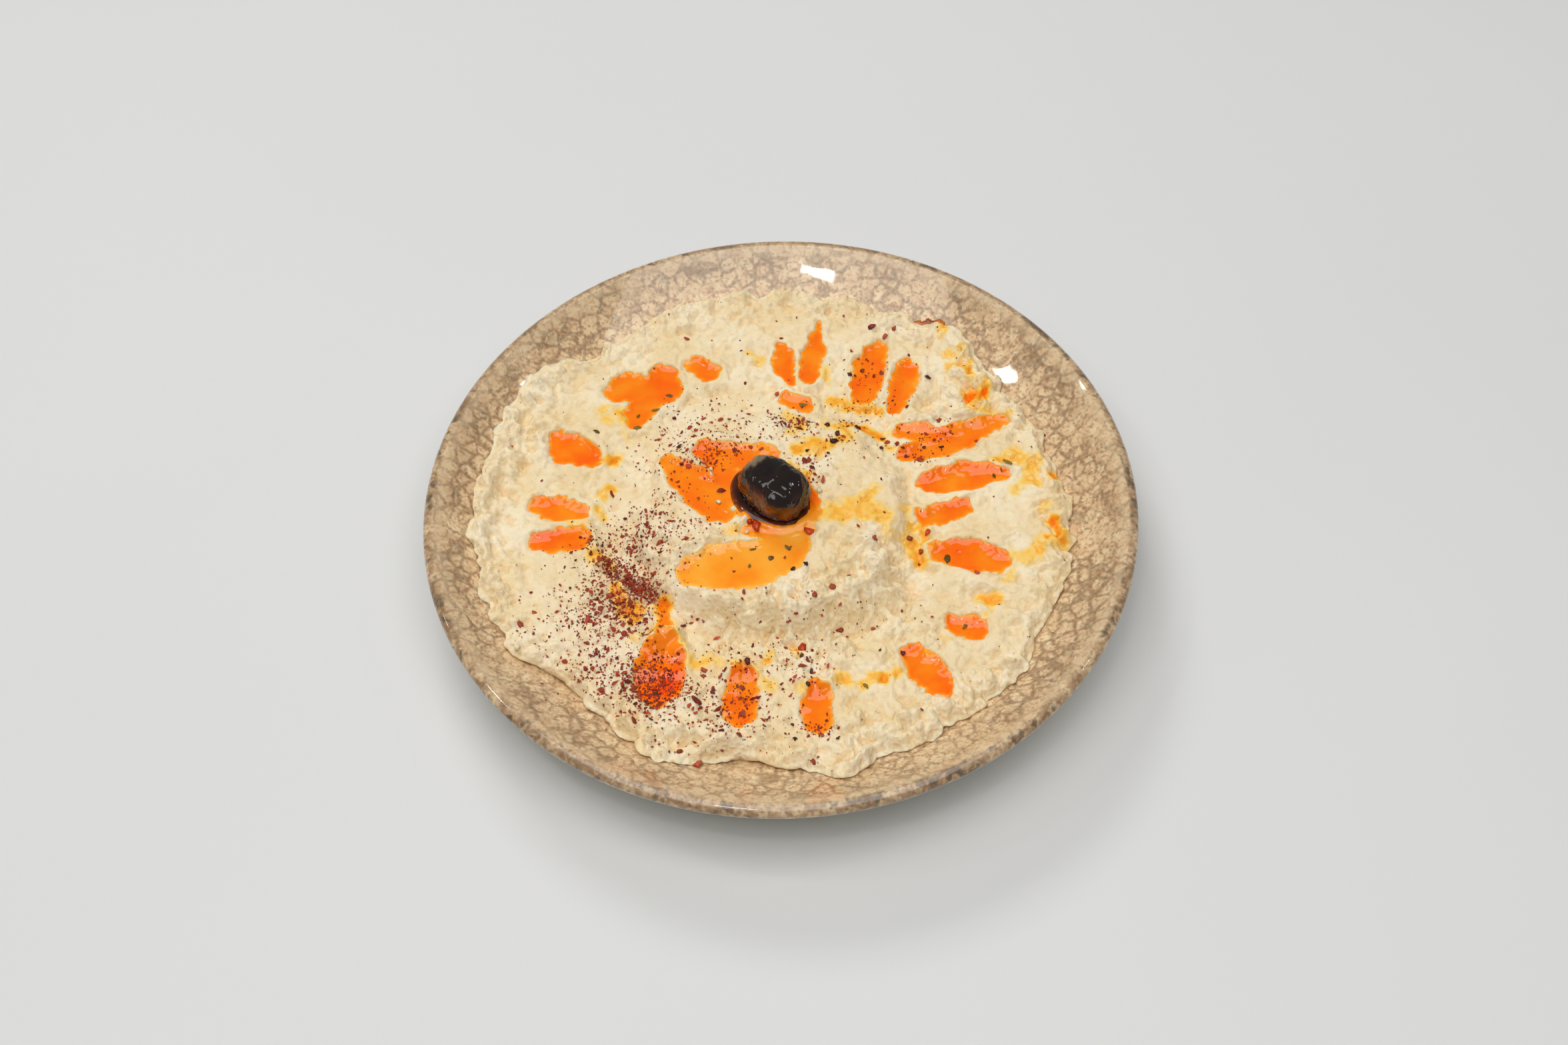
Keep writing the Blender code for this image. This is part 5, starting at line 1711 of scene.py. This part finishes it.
@dataclass
class Seasoning:
    """All that was sprinkled on: sumac dust and flakes, chilli seeds, dark grains, herbs, pepper, crumbs."""

    paste: PasteBody
    seed: int = 7
    first_seed: int = 51
    loose: int = 220
    loose_reach: float = 80.0
    olive_gap: float = 1.28
    strays: float = 0.08
    plate_reach: float = 92.0
    coarse_step: int = 6

    def sprinkled(self, rng: np.random.Generator) -> Array:
        """Places drawn from every bell of sumac, with a few anywhere on the paste.

        None is on the olive, and few are past the edge of the paste.

        Args:
            rng: Draws the places.

        Returns:
            Rows of x and y, in millimetres.
        """
        bells = [rng.normal((px, py), (sx, sy), (count, 2)) for px, py, sx, sy, count in SUMAC_BELLS]
        loose = rng.uniform(-self.loose_reach, self.loose_reach, (self.loose, 2))
        places = np.concatenate([*bells, loose])
        olive = self.paste.olive
        off_olive = olive.share(*places.T) > self.olive_gap
        reach = self.paste.outline(np.arctan2(places[:, 1], places[:, 0]))
        away = np.hypot(*places.T)
        on_paste = (away < reach - 0.5) | (rng.uniform(size=len(places)) < self.strays)
        return places[off_olive & on_paste & (away < self.plate_reach)]

    def build(self) -> list[bpy.types.Object]:
        """Makes each kind of bit as one joined piece.

        Returns:
            The pieces.
        """
        rng = np.random.default_rng(self.seed)
        dust = self.sprinkled(rng)
        coarse = self.sprinkled(rng)[:: self.coarse_step]
        sumac = DriedFlake()
        chilli = DriedFlake("dried_chilli", "7a241a", "c25a38", 0.3)
        charred = DriedFlake("charred_grain", "2e1014", "6e2e2a", 0.4)
        herb = DriedFlake("dried_herb", "5e4512", "a8802c", 0.3)
        pepper = DriedFlake("chopped_red_pepper", "8c1a08", "d8481a", 0.12)
        crumb = DriedFlake("paste_crumb", "d9c190", "f0e0ba", 0.45)
        kinds = (
            ("sumac_dust", Chip.DUST, sumac, dust, (0.52, 0.42)),
            ("sumac_flakes", Chip.FLAKE, sumac, coarse, (1.15, 0.4)),
            ("chilli_seeds", Chip.GRAIN, chilli, SEEDS, (2.7, 0.15)),
            ("dark_grains", Chip.GRAIN, charred, GRAINS, (1.8, 0.25)),
            ("herb_leaves", Chip.LEAF, herb, LEAVES, (2.9, 0.25)),
            ("pepper_bits", Chip.GRAIN, pepper, PEPPERS, (2.8, 0.25)),
            ("paste_crumbs", Chip.GRAIN, crumb, CRUMBS, (1.8, 0.3)),
        )
        return [
            self.scatter(name, kind, finish, np.array(places), bell, rng, seed)
            for seed, (name, kind, finish, places, bell) in enumerate(kinds, self.first_seed)
        ]

    def scatter(
        self, name: str, kind: Chip, finish: Finish, places: Array, bell: tuple[float, float],
        rng: np.random.Generator, seed: int,
    ) -> bpy.types.Object:
        """One kind of bit, its sizes a bell curve of logarithms round a typical size.

        Args:
            name: The piece's name.
            kind: The shape of a bit.
            finish: Its finish.
            places: Rows of x and y, in millimetres.
            bell: The typical size, in millimetres, and the spread of its logarithm.
            rng: Draws the sizes and tones.
            seed: Draws the shapes and turns.

        Returns:
            The joined piece.
        """
        sizes = bell[0] * np.exp(np.clip(rng.normal(0.0, bell[1], len(places)), -1.2, 1.1))
        tones = np.clip(rng.normal(0.5, 0.28, len(places)), 0.0, 1.0)
        return Scatter(name, kind, finish, places, sizes, tones, self.paste, seed).build()


# The studio.


@dataclass(frozen=True)
class Lamp:
    """A softbox, placed by where it is seen mirrored in the plate, its distance and its face's brightness.

    The mirror point is x, y and mirror_z in millimetres. The distance and the size are in metres.
    """

    name: str
    mirror: tuple[float, float]
    direction: tuple[float, float, float]
    distance: float
    size: tuple[float, float]
    radiance: float
    mirrored: bool = True
    mirror_z: float = 20.0

    def build(self) -> None:
        """Adds an area lamp that faces the mirror point. Its power is pi times area times radiance."""
        lamp = bpy.data.lights.new(self.name, "AREA")
        lamp.shape = "RECTANGLE"
        lamp.size, lamp.size_y = self.size
        lamp.energy = self.radiance * math.pi * self.size[0] * self.size[1]
        made = bpy.data.objects.new(self.name, lamp)
        made.visible_glossy = self.mirrored
        towards = Vector(self.direction).normalized()
        made.location = Vector((*self.mirror, self.mirror_z)) * MM + towards * self.distance
        made.rotation_euler = towards.to_track_quat("Z", "Y").to_euler()
        bpy.context.scene.collection.objects.link(made)


@dataclass
class Studio:
    """Pale table, soft lamps and the camera over the near side of the plate."""

    lamps: tuple[Lamp, ...] = (
        Lamp("panel", (0.0, 87.0), (-0.03, -0.26, 0.965), 1.25, (1.35, 1.0), 2.5),
        Lamp("far_key", (0.0, 0.0), (-0.28, 0.70, 0.65), 1.7, (0.65, 0.4), 10.0, mirrored=False),
        Lamp("strip", (-10.0, 84.0), (-0.123, -0.383, 0.915), 1.4, (0.17, 0.065), 22.0),
        Lamp("left_box", (72.0, 50.0), (-0.60, 0.125, 0.79), 1.5, (0.085, 0.10), 26.0),
        Lamp("left_bulb", (82.0, 47.5), (-0.795, 0.228, 0.562), 1.5, (0.045, 0.045), 22.0),
        Lamp("right_box", (-73.0, 51.5), (0.68, 0.10, 0.73), 1.5, (0.05, 0.05), 30.0),
    )
    surroundings: float = 0.2
    backdrop: float = 0.72
    air: str = "fffefc"
    table_size: float = 6.0
    lens: float = 50.0
    sensor: float = 36.0
    camera_at: tuple[float, float, float] = (0.0009, -0.3666, 0.5123)
    camera_right: tuple[float, float, float] = (0.9995687, -0.02366402, -0.01739034)
    camera_up: tuple[float, float, float] = (0.02936681, 0.80546065, 0.59192122)

    def build(self) -> None:
        """Sets the stage."""
        scene = bpy.context.scene
        scene.view_settings.view_transform = "Standard"
        for lamp in self.lamps:
            lamp.build()
        self.sky(scene)
        self.table()
        self.camera(scene)

    def sky(self, scene: bpy.types.Scene) -> None:
        """Dim even surroundings, which the camera itself sees as a pale backdrop.

        Args:
            scene: The scene that they are for.
        """
        world = bpy.data.worlds.new("surroundings")
        world.use_nodes = True
        scene.world = world
        tree = world.node_tree
        seen = add_node(tree, "LightPath", {}, "Is Camera Ray")
        more = self.backdrop - self.surroundings
        level = add_node(tree, "Math", {0: seen, 1: more, 2: self.surroundings}, **TIMES_PLUS)
        feed(tree.nodes["Background"], {"Strength": level, "Color": linear(self.air)})

    def table(self) -> None:
        """A flat square of table under the foot ring."""
        half = 0.5 * self.table_size / MM
        corners = np.array([(-half, -half, 0.0), (half, -half, 0.0), (half, half, 0.0), (-half, half, 0.0)])
        piece = Surface(corners, [np.array([[0, 1, 2, 3]])], {}).piece("table_top", PaleTable().material())

    def camera(self, scene: bpy.types.Scene) -> None:
        """A 50 mm lens on a 36 mm wide sensor, over the near side and a shade rolled.

        Args:
            scene: The scene that it is for.
        """
        lens = bpy.data.cameras.new("camera")
        lens.lens = self.lens
        lens.sensor_width = self.sensor
        lens.clip_start = 0.01
        made = bpy.data.objects.new("camera", lens)
        right, up = Vector(self.camera_right), Vector(self.camera_up)
        back = right.cross(up)
        turn = Matrix((right, up, back)).transposed().to_4x4()
        made.matrix_world = Matrix.Translation(self.camera_at) @ turn
        scene.collection.objects.link(made)
        scene.camera = made


def main() -> None:
    """Builds the plate, the hummus, the oil, the olive and the seasoning, then the studio round them."""
    logging.basicConfig(level=logging.INFO, format="%(message)s")
    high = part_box("plate")[1]
    plate = CoupePlate(radius=high.x / MM, height=high.z / MM)
    settle(plate.build(), "plate", ["plate"])
    olive = Olive(middle=(-1.7, 3.6, 25.2))
    pools = make_pools(olive)
    paste = PasteBody(plate, olive, pools)
    settle(paste.build(), "hummus", ["hummus"])
    for piece, pool in OilPools(paste).build():
        settle(piece, "oil", [pool.node])
    settle(OilSeeps(paste).build(), "oil")
    settle(OilCollar(olive, CRATER_LEVEL).build(), "oil")
    settle(olive.build(), "olive", ["olive"])
    for piece in Seasoning(paste).build():
        settle(piece, "hummus")
    Studio().build()


if __name__ == "__main__":
    main()
